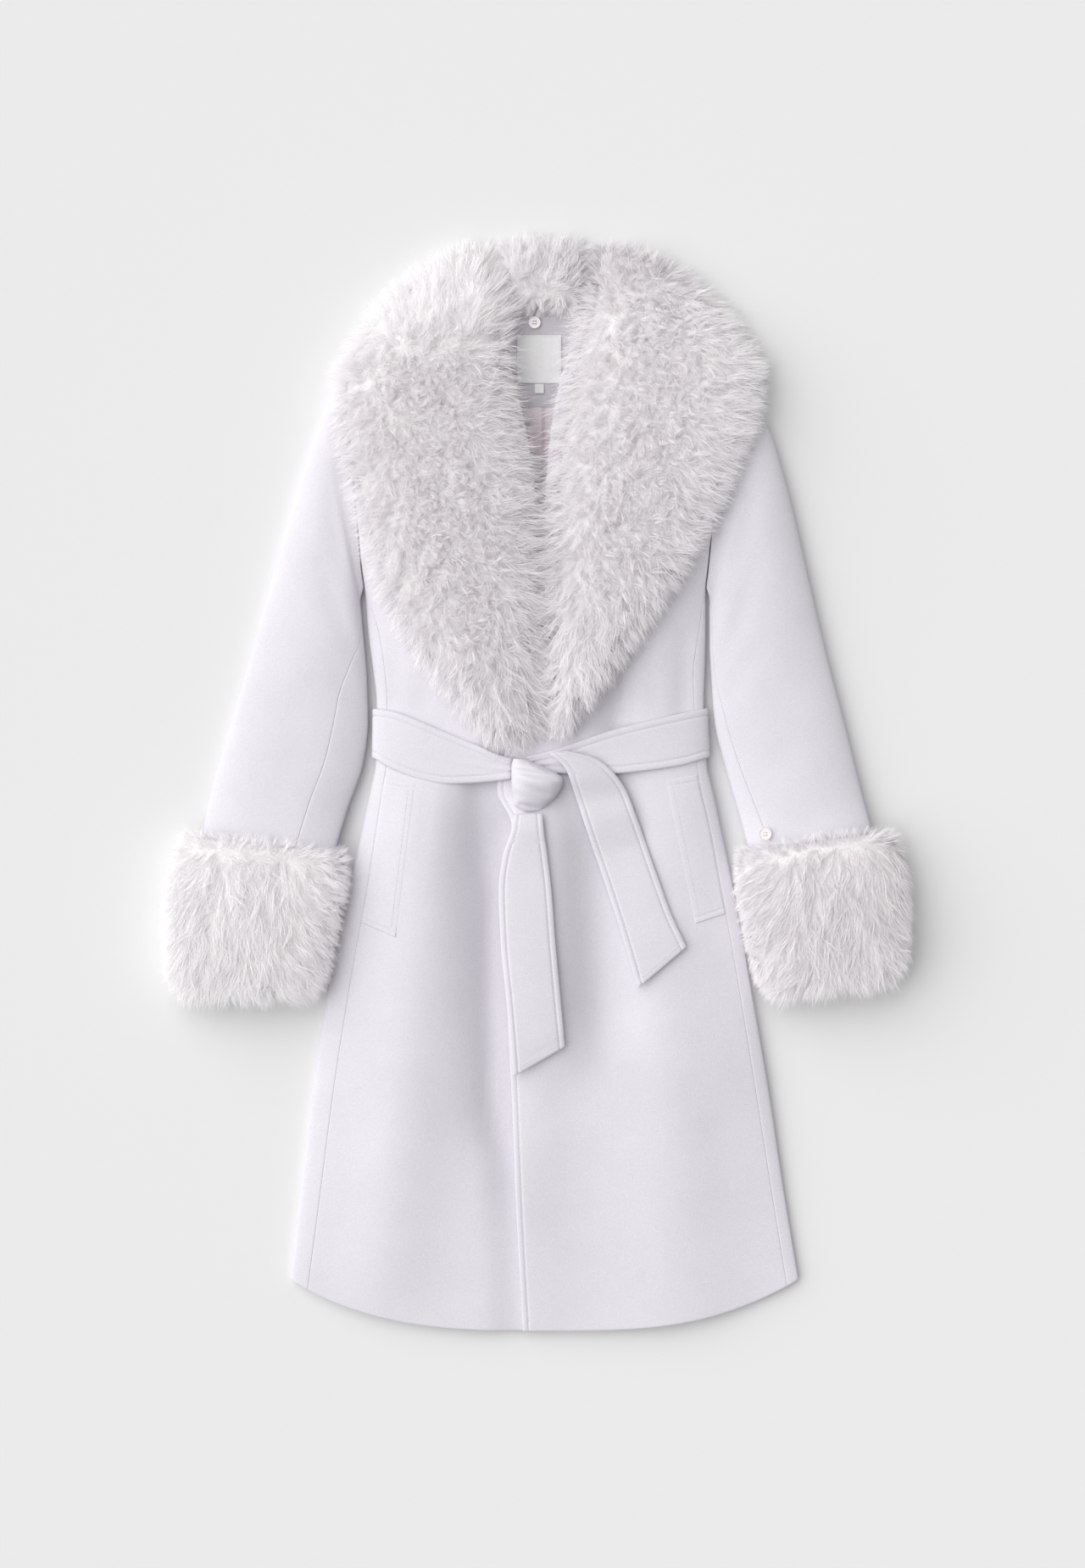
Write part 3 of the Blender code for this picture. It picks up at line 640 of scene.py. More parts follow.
# %% Back
def make_back():
    rows = spread(HEM, SHOULDER - SEAM, False, False, 60)[0]
    place = BODY.at(rows)
    over_left, over_right = body_angle(rows, place.left_seam), body_angle(rows, place.right_seam)
    above = rows >= ARMPIT
    start = np.where(above, 2 * math.pi - over_left, over_left)
    end = np.where(above, 2 * math.pi - over_right, 2 * math.pi + over_right)
    share = np.concatenate([[0, 0.002, 0.006], np.linspace(0.015, 0.985, 52), [0.994, 0.998, 1]])
    angle = mix(start[:, None], end[:, None], share[None])
    grid = front_point(np.repeat(rows[:, None], len(share), axis=1), angle)
    return shell("coat_back", "back", grid, WOOL, edges={"low": TURNED})


back = make_back()
print("back:", faces_of(back), "faces")

# %% [markdown]
# ## Two-piece sleeves
# A coat sleeve has a top piece and an under piece, joined at the outer side and by a forearm seam that
# shows near the inner side. The rings of the sleeve start on the armhole and settle into plain flat rings
# within three stations. Soft slanting troughs lie at the elbow and under the shoulder.

# %% Sleeve tables
SLEEVE_COLUMNS = "station outer_x outer_y inner_x inner_y lift side crown seam_share"
SLEEVE_RIGHT = Track(SLEEVE_COLUMNS, """
0 -184 425 -183 203 0 9 22 0.96
1 -213 400 -185 190 0 10 25 0.96
2 -228 368 -183 172 0 11 28 0.965
3 -248 309 -180 142 0 12 30 0.95
4 -272 225 -177 104 0 12 30 0.83
5 -297 135 -176 64 0 12 29 0.74
6 -320 55 -181 20 0 12 29 0.73
7 -338 -6 -197 -27 3 14 30 0.72
8 -347 -50 -210 -71 9 19 32 0.71
9 -357 -121 -226 -138 10 20 33 0.70
10 -360 -178 -233 -190 10 20 33 0.70
""")
SLEEVE_LEFT = Track(SLEEVE_COLUMNS, """
0 188 425 178 203 0 9 22 0.96
1 216 400 180 190 0 10 25 0.96
2 240 368 179 172 0 11 28 0.965
3 259 309 179 142 0 12 30 0.97
4 279 225 181 104 0 12 30 0.96
5 300 135 184 64 0 12 29 0.91
6 321 55 194 20 0 12 29 0.89
7 336 -6 207 -24 3 14 30 0.86
8 347 -50 219 -68 9 19 32 0.83
9 360 -116 234 -134 10 20 33 0.82
10 368 -168 244 -186 10 20 33 0.82
""")
SLEEVE_CREASES = (
    # station, share, half_station, half_share, slant, depth
    (3.6, 0.72, 0.45, 0.30, 0.9, 1.8),
    (4.5, 0.80, 0.35, 0.30, 0.7, 1.4),
    (5.4, 0.35, 0.40, 0.30, -0.6, 1.2),
    (6.3, 0.60, 0.38, 0.30, 0.6, 1.3),
    (2.6, 0.55, 0.50, 0.25, 0.4, 1.2),
)
print("sleeve stations:", len(SLEEVE_LEFT.keys), "creases:", len(SLEEVE_CREASES))

# %% Sleeve shape
ARMHOLE_FADE = 3.0
ARMHOLE_GAP = 0.8 * MM


def sleeve_ring(place, angle):
    share = across(angle)
    outer = np.stack([place.outer_x, place.outer_y], axis=-1)
    inner = np.stack([place.inner_x, place.inner_y], axis=-1)
    flat = mix(outer, inner, share[..., None])
    height = tube_height(place, angle, np.linalg.norm(inner - outer, axis=-1))
    return np.concatenate([flat, height[..., None]], axis=-1)


def armhole_point(angle, side):
    """Points on the armhole, along the front's edge and back along the back's edge."""
    share = across(angle)
    y = mix(SHOULDER, ARMPIT, share)
    over = body_angle(y, BODY.at(y).left_seam if side > 0 else BODY.at(y).right_seam)
    front, behind = front_point(y, over, False), body_point(y, 2 * math.pi - over)
    edge = np.where((np.sin(angle) >= 0.0)[..., None], front, behind)
    middle = (front[..., 2] + behind[..., 2]) / 2
    half = np.maximum(front[..., 2] - middle, 0.1 * MM)
    edge[..., 2] = mix(middle, edge[..., 2], roll(share, SHOULDER - ARMPIT, half))
    edge[..., 0] += side * ARMHOLE_GAP
    return edge


def sleeve_point(track, station, angle, side):
    point = sleeve_ring(track.at(station), angle)
    fade = np.maximum(0.0, 1.0 - station / ARMHOLE_FADE) ** 2
    start = armhole_point(angle, side) - sleeve_ring(track.at(np.zeros_like(station)), angle)
    point += start * fade[..., None]
    share, upper = across(angle), np.maximum(np.sin(angle), 0.0)
    for at, middle, half_station, half_share, slant, depth in SLEEVE_CREASES:
        along = (station - at - slant * (share - middle)) / half_station
        aside = (share - middle) / half_share
        point[..., 2] -= depth * MM * np.exp(-along * along - aside * aside) * upper
    point[..., 2] += (waves(point[..., 0], point[..., 1], 5, 110 * MM) - 1.0) * SLACK * upper
    return point


wrist = sleeve_ring(SLEEVE_LEFT.at(np.array([10.0, 10.0])), np.array([0.0, math.pi]))
print("wrist width:", round(float(np.linalg.norm(wrist[1] - wrist[0])), 3), "m")

# %% Make the sleeves
SEAM_ANGLE = 0.0012


def make_sleeve(name, track, side):
    rings = np.concatenate([np.linspace(track.keys[-1], 0.02, 74), [0.0]])
    near = np.array([0, 0.004, 0.012, 0.026])
    share = np.concatenate([near, np.linspace(0.05, 0.95, 20), [0.974, 0.988, 0.996, 1]])
    seam = share_angle(track.at(rings).seam_share)[:, None]
    station = np.repeat(rings[:, None], len(share), axis=1)
    made = []
    for part, start, end in (("top", 0.0 * seam, seam), ("under", seam, 0.0 * seam + 2 * math.pi)):
        angle = mix(start + SEAM_ANGLE, end - SEAM_ANGLE, share[None])
        node = f"sleeve_{part}_{name}"
        grid = sleeve_point(track, station, angle, side)
        made.append(shell(f"{node}_cloth", node, grid, WOOL, outward=-side))
    return made


sleeve_right = make_sleeve("right", SLEEVE_RIGHT, -1)
sleeve_left = make_sleeve("left", SLEEVE_LEFT, 1)
print("sleeves:", faces_of(*sleeve_right, *sleeve_left), "faces")

# %% [markdown]
# ## The tie belt
# The belt is a doubled strip with topstitching near both edges. Round the body it follows the same tube
# as the fronts, a little further out. The band is drawn tight at the knot, so it narrows and a few long
# creases run out from there.

# %% Belt bands
REST = 0.8 * MM
BELT = 4.5 * MM
BELT_FRONT = Track("x low high", """
-168 26 77
-150 15 74
-118 4 62
-92 0 51
-65 1 40
-26 5 26
12 10 33
40 10 42
76 10 54
111 13 63
146 18 71
174 26 77
""")
BELT_LOW, BELT_HIGH = 26 * MM, 77 * MM
BELT_MIDDLE = (BELT_LOW + BELT_HIGH) / 2
BELT_TURN_UNDER, BELT_JOIN = 0.55, 0.01
BELT_STITCH, BELT_GROOVE = 7.5 * MM, 0.7 * MM
BAND_LINES = np.array((0, 0.5, 1.2, 2.4, 4.2, 6.0, 6.8, 7.5, 8.2, 9.0, 10.5)) * MM
BAND_CREASES = ((0.33, 1.3), (0.58, 1.7), (0.78, 0.9))
CREASE_REACH, CREASE_HALF = 55 * MM, 0.09
BELT_TURN, BELT_END_TURN = 3.2 * MM, 0.8 * MM
KNOT_RIGHT, KNOT_LEFT = -25 * MM, -12 * MM


def make_band(name, node, start, end, cells, knot_end=None):
    """A stretch of the belt round the body. Without an end at the knot it is the plain one behind."""
    angle = np.linspace(start, end, cells)
    x = body_point(np.full_like(angle, BELT_MIDDLE), angle)[:, 0]
    tied = knot_end is not None
    low = BELT_FRONT.at(x).low if tied else np.full_like(x, BELT_LOW)
    high = BELT_FRONT.at(x).high if tied else np.full_like(x, BELT_HIGH)
    room = BAND_LINES[None] * np.minimum(1.0, (high - low) / (2.2 * BAND_LINES[-1]))[:, None]
    first, last = low[:, None] + room, high[:, None] - room[:, ::-1]
    inner = mix(first[:, -1:], last[:, :1], np.linspace(0, 1, 9)[1:-1][None])
    y = np.concatenate([first, inner, last], axis=1).T
    grid = body_point(y, np.repeat(angle[None], len(y), axis=0))
    lift = np.full(y.shape, REST + BELT)
    if tied:
        near = np.exp(-np.abs(x - knot_end) / CREASE_REACH)[None]
        share = (y - low) / (high - low)
        for at, depth in BAND_CREASES:
            lift -= depth * MM * near * np.exp(-(((share - at) / CREASE_HALF) ** 2))
        lift += 0.5 * MM * (waves(grid[..., 0], grid[..., 1], 11, 70 * MM) - 1.0)
    return shell(
        name, node, grid + grid_normals(grid) * lift[..., None], BELT,
        edges={"low": BELT_TURN, "high": BELT_TURN, "first": BELT_END_TURN, "last": BELT_END_TURN},
        grooves=[(border, BELT_STITCH, BELT_GROOVE) for border in ("low", "high") if tied],
    )


under_right, under_left = -BELT_TURN_UNDER, math.pi + BELT_TURN_UNDER
knot_angles = [float(body_angle(BELT_MIDDLE, x)) for x in (KNOT_RIGHT, KNOT_LEFT)]
belt_right = make_band("belt_band_right", "belt_front_right", under_right, knot_angles[0], 64, KNOT_RIGHT)
belt_left = make_band("belt_band_left", "belt_front_left", knot_angles[1], under_left, 72, KNOT_LEFT)
belt_back = make_band(
    "belt_band_back", "belt_back", under_left + BELT_JOIN, 2 * math.pi + under_right - BELT_JOIN, 30
)
print("belt bands:", faces_of(belt_right, belt_left, belt_back), "faces")

# %% [markdown]
# ## Tails and knot
# The tails hang from the knot over the skirt and end in slanting cuts. The solids say how high they lie,
# so a ray from below finds the underside of each solid along the tail. The knot is the belt pulled
# through itself: a cushion of cloth with rolled borders, and creases where the layers pass each other.

# %% Tail tables
PAD_COLUMNS = "station first_x first_y second_x second_y loft"
TAIL_LONG = Track(PAD_COLUMNS, """
0 -25 -32 6 -31 6
1 -27 -48 7 -47 6
2 -36 -77 11 -78 5
3 -40 -112 15 -113 4.5
4 -38 -165 19 -165 4.5
5 -32 -226 24 -220 4.5
6 -25 -304 29 -273 4.5
""")
TAIL_SHORT = Track(PAD_COLUMNS, """
0 13 30 30 34 7
1 29 14 60 26 6
2 39 -13 90 -4 5
3 53 -55 104 -38 4.5
4 71 -107 122 -89 4.5
5 88 -160 140 -138 4.5
6 104 -213 155 -170 4.5
""")
print("tails end", [round(tail.table[-1, 2], 3) for tail in (TAIL_LONG, TAIL_SHORT)], "m along the coat")

# %% Under a solid
def solid_tree(*names):
    """One ray-cast tree over the named solids."""
    points, faces = [], []
    for name in names:
        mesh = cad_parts[name].data
        faces += [[corner + len(points) for corner in face.vertices] for face in mesh.polygons]
        points += [tuple(vertex.co) for vertex in mesh.vertices]
    return BVHTree.FromPolygons(points, faces)


def underside(tree, x, y):
    """Height of a solid's underside at many places, or nan where there is none."""
    found = np.full(x.shape, np.nan)
    for place in np.ndindex(x.shape):
        hit = tree.ray_cast(Vector((x[place], y[place], -1.0)), Vector((0, 0, 1)))[0]
        if hit:
            found[place] = hit.z
    return found


def between(row, share):
    """Places across the rows of a table, from the first border to the second."""
    x = mix(row.first_x[:, None], row.second_x[:, None], share)
    y = mix(row.first_y[:, None], row.second_y[:, None], share)
    return x, y


def rest_height(node, x, y):
    """Height of a solid's underside along the middle of a grid, evened out."""
    middle = x.shape[1] // 2
    base = underside(solid_tree(node), x[:, middle], y[:, middle])
    known = ~np.isnan(base)
    base = np.interp(np.arange(len(base)), np.flatnonzero(known), base[known])
    return np.convolve(np.pad(base, 3, mode="edge"), np.ones(7) / 7, mode="valid")[:, None]


knot_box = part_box("belt_knot")
knot_middle = [np.array([(knot_box[0][axis] + knot_box[1][axis]) / 2]) for axis in (0, 1)]
print("knot rests at", round(float(underside(solid_tree("belt_knot"), *knot_middle)[0]) * 1000, 1), "mm")

# %% Belt tails
TAIL_WALL = BELT - 1.0 * MM
TAIL_STITCH = STITCH_INSET + 0.2 * MM
TAIL_BORDERS = ("first", "last", "high")
TAIL_TURN, TAIL_CROWN, TAIL_SETTLE = 4.0 * MM, 1.2 * MM, 1.6 * MM
TAIL_WAVE, TAIL_WAVE_TOP = 0.8 * MM, 0.4 * MM
TAIL_STIFF = 0.8


def make_tail(node, track, tilt):
    stations = np.concatenate([np.linspace(0, 5.9, 62), [5.94, 5.97, 5.985, 5.995, 6.0]])
    row = track.at(stations)
    span = np.hypot(row.second_x - row.first_x, row.second_y - row.first_y)
    share = spread(np.zeros_like(span), span, True, True, 8) / span[:, None]
    share[span < 40 * MM] = np.linspace(0, 1, share.shape[1])
    x, y = between(row, share)
    crown = TAIL_CROWN * 4 * share * (1 - share)
    wave = np.minimum(TAIL_WAVE * waves(x, y, 21, 60 * MM), TAIL_WAVE_TOP)
    below = body_row(x, y)
    angle = body_angle(below, np.maximum(x, BODY.at(below).left_edge + WOOL))
    sunk = front_point(below, angle, True, left_relief)[..., 2] - front_point(below, angle, False)[..., 2]
    sunk = mix(sunk, sunk.max(axis=1, keepdims=True), TAIL_STIFF) + tilt * (1 - share)
    z = rest_height(node, x, y) + row.loft[:, None] + crown - TAIL_SETTLE + wave + sunk
    return shell(
        f"{node}_cloth", node, np.stack([x, y, z], axis=-1), TAIL_WALL, outward=-1.0,
        edges={**dict.fromkeys(TAIL_BORDERS, TAIL_TURN), "low": BELT_END_TURN},
        grooves=[(border, TAIL_STITCH, BELT_GROOVE) for border in TAIL_BORDERS],
    )


tail_long = make_tail("belt_tail_long", TAIL_LONG, 0.0)
tail_short = make_tail("belt_tail_short", TAIL_SHORT, 3.5 * MM)
print("tails:", faces_of(tail_long, tail_short), "faces")

# %% Knot
KNOT = Track(PAD_COLUMNS, """
0 -25 25 -11 24 9
1 -27 16 10 15 17
2 -27 3 27 3 21
3 -26 -11 22 -11 20
4 -25 -22 13 -21 15
5 -16 -30 4 -29 8
""")
KNOT_POWER = 2.6
KNOT_CREASES = (
    # x_start, y_start, x_end, y_end, half_width, depth
    (-27, 13, 26, 4, 3.2, 4.2),
    (-24, 1, 14, -14, 4.0, 2.6),
    (-6, 22, 16, 10, 2.4, 2.2),
    (-20, -22, 4, -27, 2.6, 2.4),
)


def make_knot():
    row = KNOT.at(np.linspace(0, 5, 46))
    turn = np.linspace(0.08, math.pi - 0.08, 44)
    rise = ((1 - np.abs(np.cos(turn)) ** KNOT_POWER) ** (1 / KNOT_POWER))[None]
    x, y = between(row, across(turn)[None])
    base = rest_height("belt_knot", x, y)
    z = base + row.loft[:, None] * rise
    for crease in KNOT_CREASES:
        x0, y0, x1, y1, half_width, depth = (figure * MM for figure in crease)
        span = math.hypot(x1 - x0, y1 - y0)
        along = ((x - x0) * (x1 - x0) + (y - y0) * (y1 - y0)) / span ** 2
        aside = ((x - x0) * (y1 - y0) - (y - y0) * (x1 - x0)) / span / half_width
        fade = smooth(along / 0.2 + 0.6) * smooth((1 - along) / 0.25 + 0.4)
        z -= depth * fade * np.exp(-aside * aside) * rise ** 2
    top = np.stack([x, y, z], axis=-1)
    below = np.stack([x, y, np.broadcast_to(base, x.shape)], axis=-1)
    return closed("belt_knot_cloth", "belt_knot", top, below, WOOL_CLOTH, "wool", -1.0)


knot = make_knot()
print("knot:", len(knot.data.polygons), "faces")

# %% [markdown]
# ## Pocket welts
# The pockets open along the side seams. A welt lies over each opening, pressed flat, so only its top and
# bottom lines and its inner stitch line show. Each is made from the front's own points, moved out.

# %% Pocket welts
WELT, WELT_OVER = 1.6 * MM, 0.5 * MM
WELT_LENGTH, WELT_FROM_SEAM = 150 * MM, 1.5 * MM
WELT_LOOSE, WELT_LOOSE_WIDTH = 0.7 * MM, 14 * MM
WELT_COLUMNS = "station seam_y inner_x inner_y"
WELT_RIGHT = Track(WELT_COLUMNS, """
0 6 -127 0
1 -145 -147 -160
""")
WELT_LEFT = Track(WELT_COLUMNS, """
0 8 133 3
1 -136 164 -146
""")


def make_welt(name, track, side):
    even = np.linspace(24 * MM, WELT_LENGTH - 24 * MM, 14)
    steps = np.concatenate([STITCHED, even, WELT_LENGTH - STITCHED[::-1]]) / WELT_LENGTH
    place = track.at(1 - steps)
    seams = BODY.at(place.seam_y)
    seam = ((seams.left_seam if side > 0 else seams.right_seam) - side * WELT_FROM_SEAM, place.seam_y)
    hand = (place.inner_x, place.inner_y)
    first, second = (hand, seam) if side > 0 else (seam, hand)
    span = np.abs(second[0] - first[0])
    share = spread(np.zeros_like(span), span, side > 0, side < 0, 6) / span[:, None]
    x, y = (mix(start[:, None], end[:, None], share) for start, end in zip(first, second))
    row = body_row(x, y)
    grid = front_point(row, body_angle(row, x))
    to_low = lengths(grid, 0)[..., None]
    grid = grid + grid_normals(grid) * (WELT_OVER + WELT_LOOSE * smooth(1 - to_low / WELT_LOOSE_WIDTH))
    inner, outer = ("first", "last") if side > 0 else ("last", "first")
    pressed = ((inner, 0.08 * MM), ("low", 0.5 * MM), ("high", 0.3 * MM))
    return shell(
        f"pocket_welt_{name}_cloth", f"pocket_welt_{name}", grid, WELT,
        edges={inner: 14.0 * MM, outer: 2.0 * MM, "low": 1.3 * MM, "high": 3.0 * MM},
        grooves=[(border, STITCH_INSET, depth) for border, depth in pressed],
    )


welt_right = make_welt("right", WELT_RIGHT, -1)
welt_left = make_welt("left", WELT_LEFT, 1)
print("welts:", faces_of(welt_right, welt_left), "faces")

# %% [markdown]
# ## Inside the neck
# Between the lapels the inside of the back shows: a wool facing with the label, and below a seam the
# satin lining with its centre pleat. Satin is smooth and a little shiny, with a fine thread along the
# coat. The label is a bare white ribbon, woven so fine that only a faint rib shows.

# %% Neck finishes
def satin_finish():
    satin = Finish("lining_satin", 0.42, Sheen_Weight=0.15)
    threads = satin.grain(500.0, (6.0, 0.6, 1.0))
    shade = satin.total((0.5, satin.grain(40.0)), (0.5, threads))
    satin.tint(shade, (0.35, (0.56, 0.49, 0.525)), (0.65, (0.70, 0.625, 0.66)))
    satin.bump(threads, 0.1 * MM, 0.2)
    return satin.material


def ribbon_finish():
    ribbon = Finish("label_ribbon", 0.6)
    wave = ribbon.nodes.new("ShaderNodeTexWave")
    wave.bands_direction = "Y"
    settle(wave.inputs, Scale=420.0, Distortion=0.6)
    ribbon.link(ribbon.place(), wave.inputs["Vector"])
    shade = ribbon.total((0.4, wave.outputs["Fac"]), (0.6, ribbon.grain(300.0)))
    ribbon.tint(shade, (0.2, (0.70, 0.695, 0.70)), (0.8, (0.80, 0.797, 0.80)))
    ribbon.bump(shade, 0.12 * MM, 0.25)
    return ribbon.material


# The facing is the coat's own wool, darkened here as painted shade for the shade the lapels cast over the
# neck.
WOOL_PAINTED_SHADE = wool_finish("wool_painted_shade", (0.50, 0.475, 0.513), (0.575, 0.55, 0.59))
LINING_SATIN = satin_finish()
LABEL_RIBBON = ribbon_finish()
print("finishes:", LINING_SATIN.name, LABEL_RIBBON.name)

# %% Neck pieces
FACING, LINING, LABEL = 1.5 * MM, 1.0 * MM, 1.0 * MM
NECK_TOP, FACING_LOW, LINING_LOW = 485.5, 391, 300
NECK_CENTRE = 2 * MM
TAB_END, TAB_RISE = 410 * MM, 0.5 * MM
PLEAT_X, PLEAT_WIDTH, PLEAT_RISE = 5 * MM, 18 * MM, 1.6 * MM
TAB_LINES = np.concatenate([[0, 0.01, 0.03, 0.06], np.linspace(0.1, 0.9, 13), [0.94, 0.97, 0.99, 1]])


def facing_relief(x, y):
    return 0.25 * MM * (waves(x, y, 31, 40 * MM) - 1.0)


def lining_relief(x, y):
    over = (PLEAT_X - x) / PLEAT_WIDTH
    lap = np.where(over >= 0, np.maximum(0.0, 1 - over), np.maximum(0.0, 1 + over * 12))
    return PLEAT_RISE * lap + 0.15 * MM * (waves(x, y, 33, 30 * MM) - 1.0)


def label_relief(x, y):
    """Label and tab lie nearly flat; the tab's loose end stands up."""
    loose = np.clip((TAB_END - y) / (10 * MM) + 0.7, 0, 1) ** 2
    return TAB_RISE * loose + 0.12 * MM * waves(x, y, 35, 24 * MM)


def neck_sheet(name, node, sizes, height, wall, finish, slot, relief, cells=None):
    """A small sheet in the neck: sizes are low, high and the half widths there, in millimetres."""
    low, high, half_low, half_high = (size * MM for size in sizes)
    v = spread(low, high, False, False, cells[0])[0] if cells else mix(low, high, TAB_LINES)
    half = np.interp(v, [low, high], [half_low, half_high])
    share = spread(0 * half, 2 * half, False, False, cells[1]) if cells else 2 * half[:, None] * TAB_LINES
    x = NECK_CENTRE - half[:, None] + share
    y = np.repeat(v[:, None], x.shape[1], axis=1)
    return shell(name, node, np.stack([x, y, height + wall + relief(x, y)], axis=-1), wall, finish, slot)


inside = WOOL + SEAM
on_facing = inside + FACING + SEAM
facing = neck_sheet(
    "neck_facing_cloth", "neck_facing", (FACING_LOW + SEAM / MM, NECK_TOP, 66, 36), inside, FACING,
    WOOL_PAINTED_SHADE, "wool", facing_relief, (14, 16),
)
lining = neck_sheet(
    "lining_satin_panel", "lining", (LINING_LOW, FACING_LOW, 62, 66), inside, LINING,
    LINING_SATIN, "lining", lining_relief, (14, 60),
)
label = neck_sheet(
    "label_ribbon_plain", "label", (416, 466, 23, 23), on_facing, LABEL,
    LABEL_RIBBON, "label", label_relief, (10, 10),
)
size_tab = neck_sheet(
    "size_tab_plain", "size_tab", (405.4, 415.4, 4.75, 4.75), on_facing, LABEL,
    LABEL_RIBBON, "label", label_relief,
)
print("neck pieces:", faces_of(facing, lining, label, size_tab), "faces")

# %% [markdown]
# ## Topstitching
# A row of stitches is one small capsule of thread, modelled once and copied along the grooves with a gap
# between one stitch and the next. Each copy is turned along the groove and lies in it, so that it stands
# only a little above the cloth.

# %% One stitch
STITCH_LENGTH, STITCH_PITCH, THREAD = 2.7 * MM, 3.6 * MM, 0.62 * MM
STITCH_STANDS, LABEL_STITCH = 0.12 * MM, 1.6 * MM


def thread_finish():
    thread = Finish("sewing_thread", 0.7)
    twist = thread.grain(900.0, turn=0.7, detail=1.0)
    thread.tint(twist, (0.35, (0.66, 0.63, 0.69)), (0.65, (0.78, 0.75, 0.81)))
    thread.bump(twist, 0.1 * MM, 0.3)
    return thread.material


def stitch_shape():
    """One stitch: a small ball, stretched along X and flattened."""
    bpy.ops.object.select_all(action="DESELECT")
    bpy.ops.mesh.primitive_uv_sphere_add(segments=5, ring_count=3, radius=1.0)
    ball = bpy.context.object
    size = (STITCH_LENGTH / 2, THREAD / 2, THREAD / 2.4)
    bpy.ops.object.mode_set(mode="EDIT")
    bpy.ops.mesh.select_all(action="SELECT")
    bpy.ops.transform.rotate(value=math.pi / 2, orient_axis="Y", center_override=(0, 0, 0))
    bpy.ops.transform.resize(value=size, center_override=(0, 0, 0))
    bpy.ops.object.mode_set(mode="OBJECT")
    points = np.array([vertex.co for vertex in ball.data.vertices])
    faces = [list(face.vertices) for face in ball.data.polygons]
    bpy.data.objects.remove(ball, do_unlink=True)
    return points, [np.array([face for face in faces if len(face) == corners]) for corners in (4, 3)]


THREAD_FINISH = thread_finish()
STITCH_POINTS, STITCH_FACES = stitch_shape()
print("one stitch:", sum(len(block) for block in STITCH_FACES), "faces")

# %% Sewing tool
def unit_rows(vectors):
    return vectors / np.maximum(np.linalg.norm(vectors, axis=-1, keepdims=True), 1e-12)


def run_length(line):
    """Running length along a line of points."""
    return np.concatenate([[0], np.cumsum(np.linalg.norm(np.diff(line, axis=0), axis=1))])


def at_lengths(at, far, values):
    return np.stack([np.interp(at, far, values[:, axis]) for axis in range(3)], axis=1)


def copies(faces, count, size):
    """The faces of many copies of a shape that has a number of points."""
    return (faces[None] + (np.arange(count) * size)[:, None, None]).reshape(-1, faces.shape[1])


def stitch_line(made, border, distance, start, end):
    """The line on a shell beside one border, with its normals, cut off by some millimetres at its ends."""
    inset, fields = made.inset[border], (made.grid, made.normal)
    if border in ("low", "high"):
        inset, fields = inset.T, [field.transpose(1, 0, 2) for field in fields]
    order = slice(None, None, -1) if border in ("last", "high") else slice(None)
    line, normals = (
        np.array([
            [np.interp(distance, far[order], row[order, axis]) for axis in range(3)]
            for far, row in zip(inset, field)
        ])
        for field in fields
    )
    far = run_length(line)
    keep = (far >= start * MM) & (far <= far[-1] - end * MM)
    return line[keep], normals[keep]


def sew(name, lines, slot="wool"):
    """One piece with all stitches along some lines."""
    points = []
    for line, normals in lines:
        far = run_length(line)
        at = np.arange(STITCH_PITCH, far[-1] - STITCH_PITCH / 2, STITCH_PITCH)
        run = unit_rows(at_lengths(at + 0.3 * MM, far, line) - at_lengths(at - 0.3 * MM, far, line))
        side = unit_rows(np.cross(at_lengths(at, far, normals), run))
        up = np.cross(run, side)
        turned = np.einsum("pk,nkc->npc", STITCH_POINTS, np.stack([run, side, up], axis=1))
        points.append(turned + (at_lengths(at, far, line) + up * STITCH_STANDS)[:, None])
    points = np.concatenate(points)
    faces = [copies(block, len(points), len(STITCH_POINTS)) for block in STITCH_FACES]
    print(name, len(points), "stitches")
    return mesh_piece(name, points.reshape(-1, 3), faces, THREAD_FINISH, slot)


print("one stitch every", round(STITCH_PITCH * 1000, 1), "mm")

# %% Stitch rows
front_stitches = sew("front_edge_stitches", [
    stitch_line(front, border, STITCH_INSET, 8, 60)
    for front, border in ((front_left, "first"), (front_right, "last"))
])
belt_stitches = sew("belt_stitches", [
    stitch_line(band, border, BELT_STITCH, 2, 2)
    for band in (belt_right, belt_left) for border in ("low", "high")
] + [
    stitch_line(tail, border, TAIL_STITCH, 10, 6)
    for tail in (tail_long, tail_short) for border in ("first", "last")
] + [
    stitch_line(tail, "high", TAIL_STITCH, 6, 6) for tail in (tail_long, tail_short)
])
welt_stitches = sew("pocket_stitches", [
    stitch_line(welt, border, STITCH_INSET, 6, 6)
    for welt, border in ((welt_right, "last"), (welt_left, "first"))
] + [
    stitch_line(welt, border, STITCH_INSET, 1, 6)
    for welt in (welt_right, welt_left) for border in ("low", "high")
])
label_stitches = sew("label_stitches", [
    stitch_line(label, border, LABEL_STITCH, 2, 2) for border in ("first", "last", "high")
], "label")

# %% [markdown]
# ## Buttons
# Two small buttons hold the fur in place. A real one is turned from a disc: a rounded rim round a dished
# face with four holes. A cylinder gets its face inset twice, once for the rim and once down into the
# dish, four drilled holes by a boolean, and rounded edges by a bevel.

# %% Button tools
HOLE_OUT, HOLE_RADIUS = 1.4 * MM, 0.75 * MM
RIM, DISH_SLOPE, DISH, BUTTON_ROUND = 1.5 * MM, 0.5 * MM, 0.6 * MM, 0.4 * MM


def button_finish():
    pearl = Finish("button_pearl", 0.32, Coat_Weight=0.3)
    swirl = pearl.grain(160.0, (1.0, 2.5, 1.0), 0.5)
    pearl.tint(swirl, (0.35, (0.88, 0.79, 0.79)), (0.65, (0.96, 0.90, 0.90)))
    rough = pearl.arithmetic("ADD", pearl.arithmetic("MULTIPLY", swirl, 0.25), 0.2)
    pearl.link(rough, pearl.surface["Roughness"])
    return pearl.material


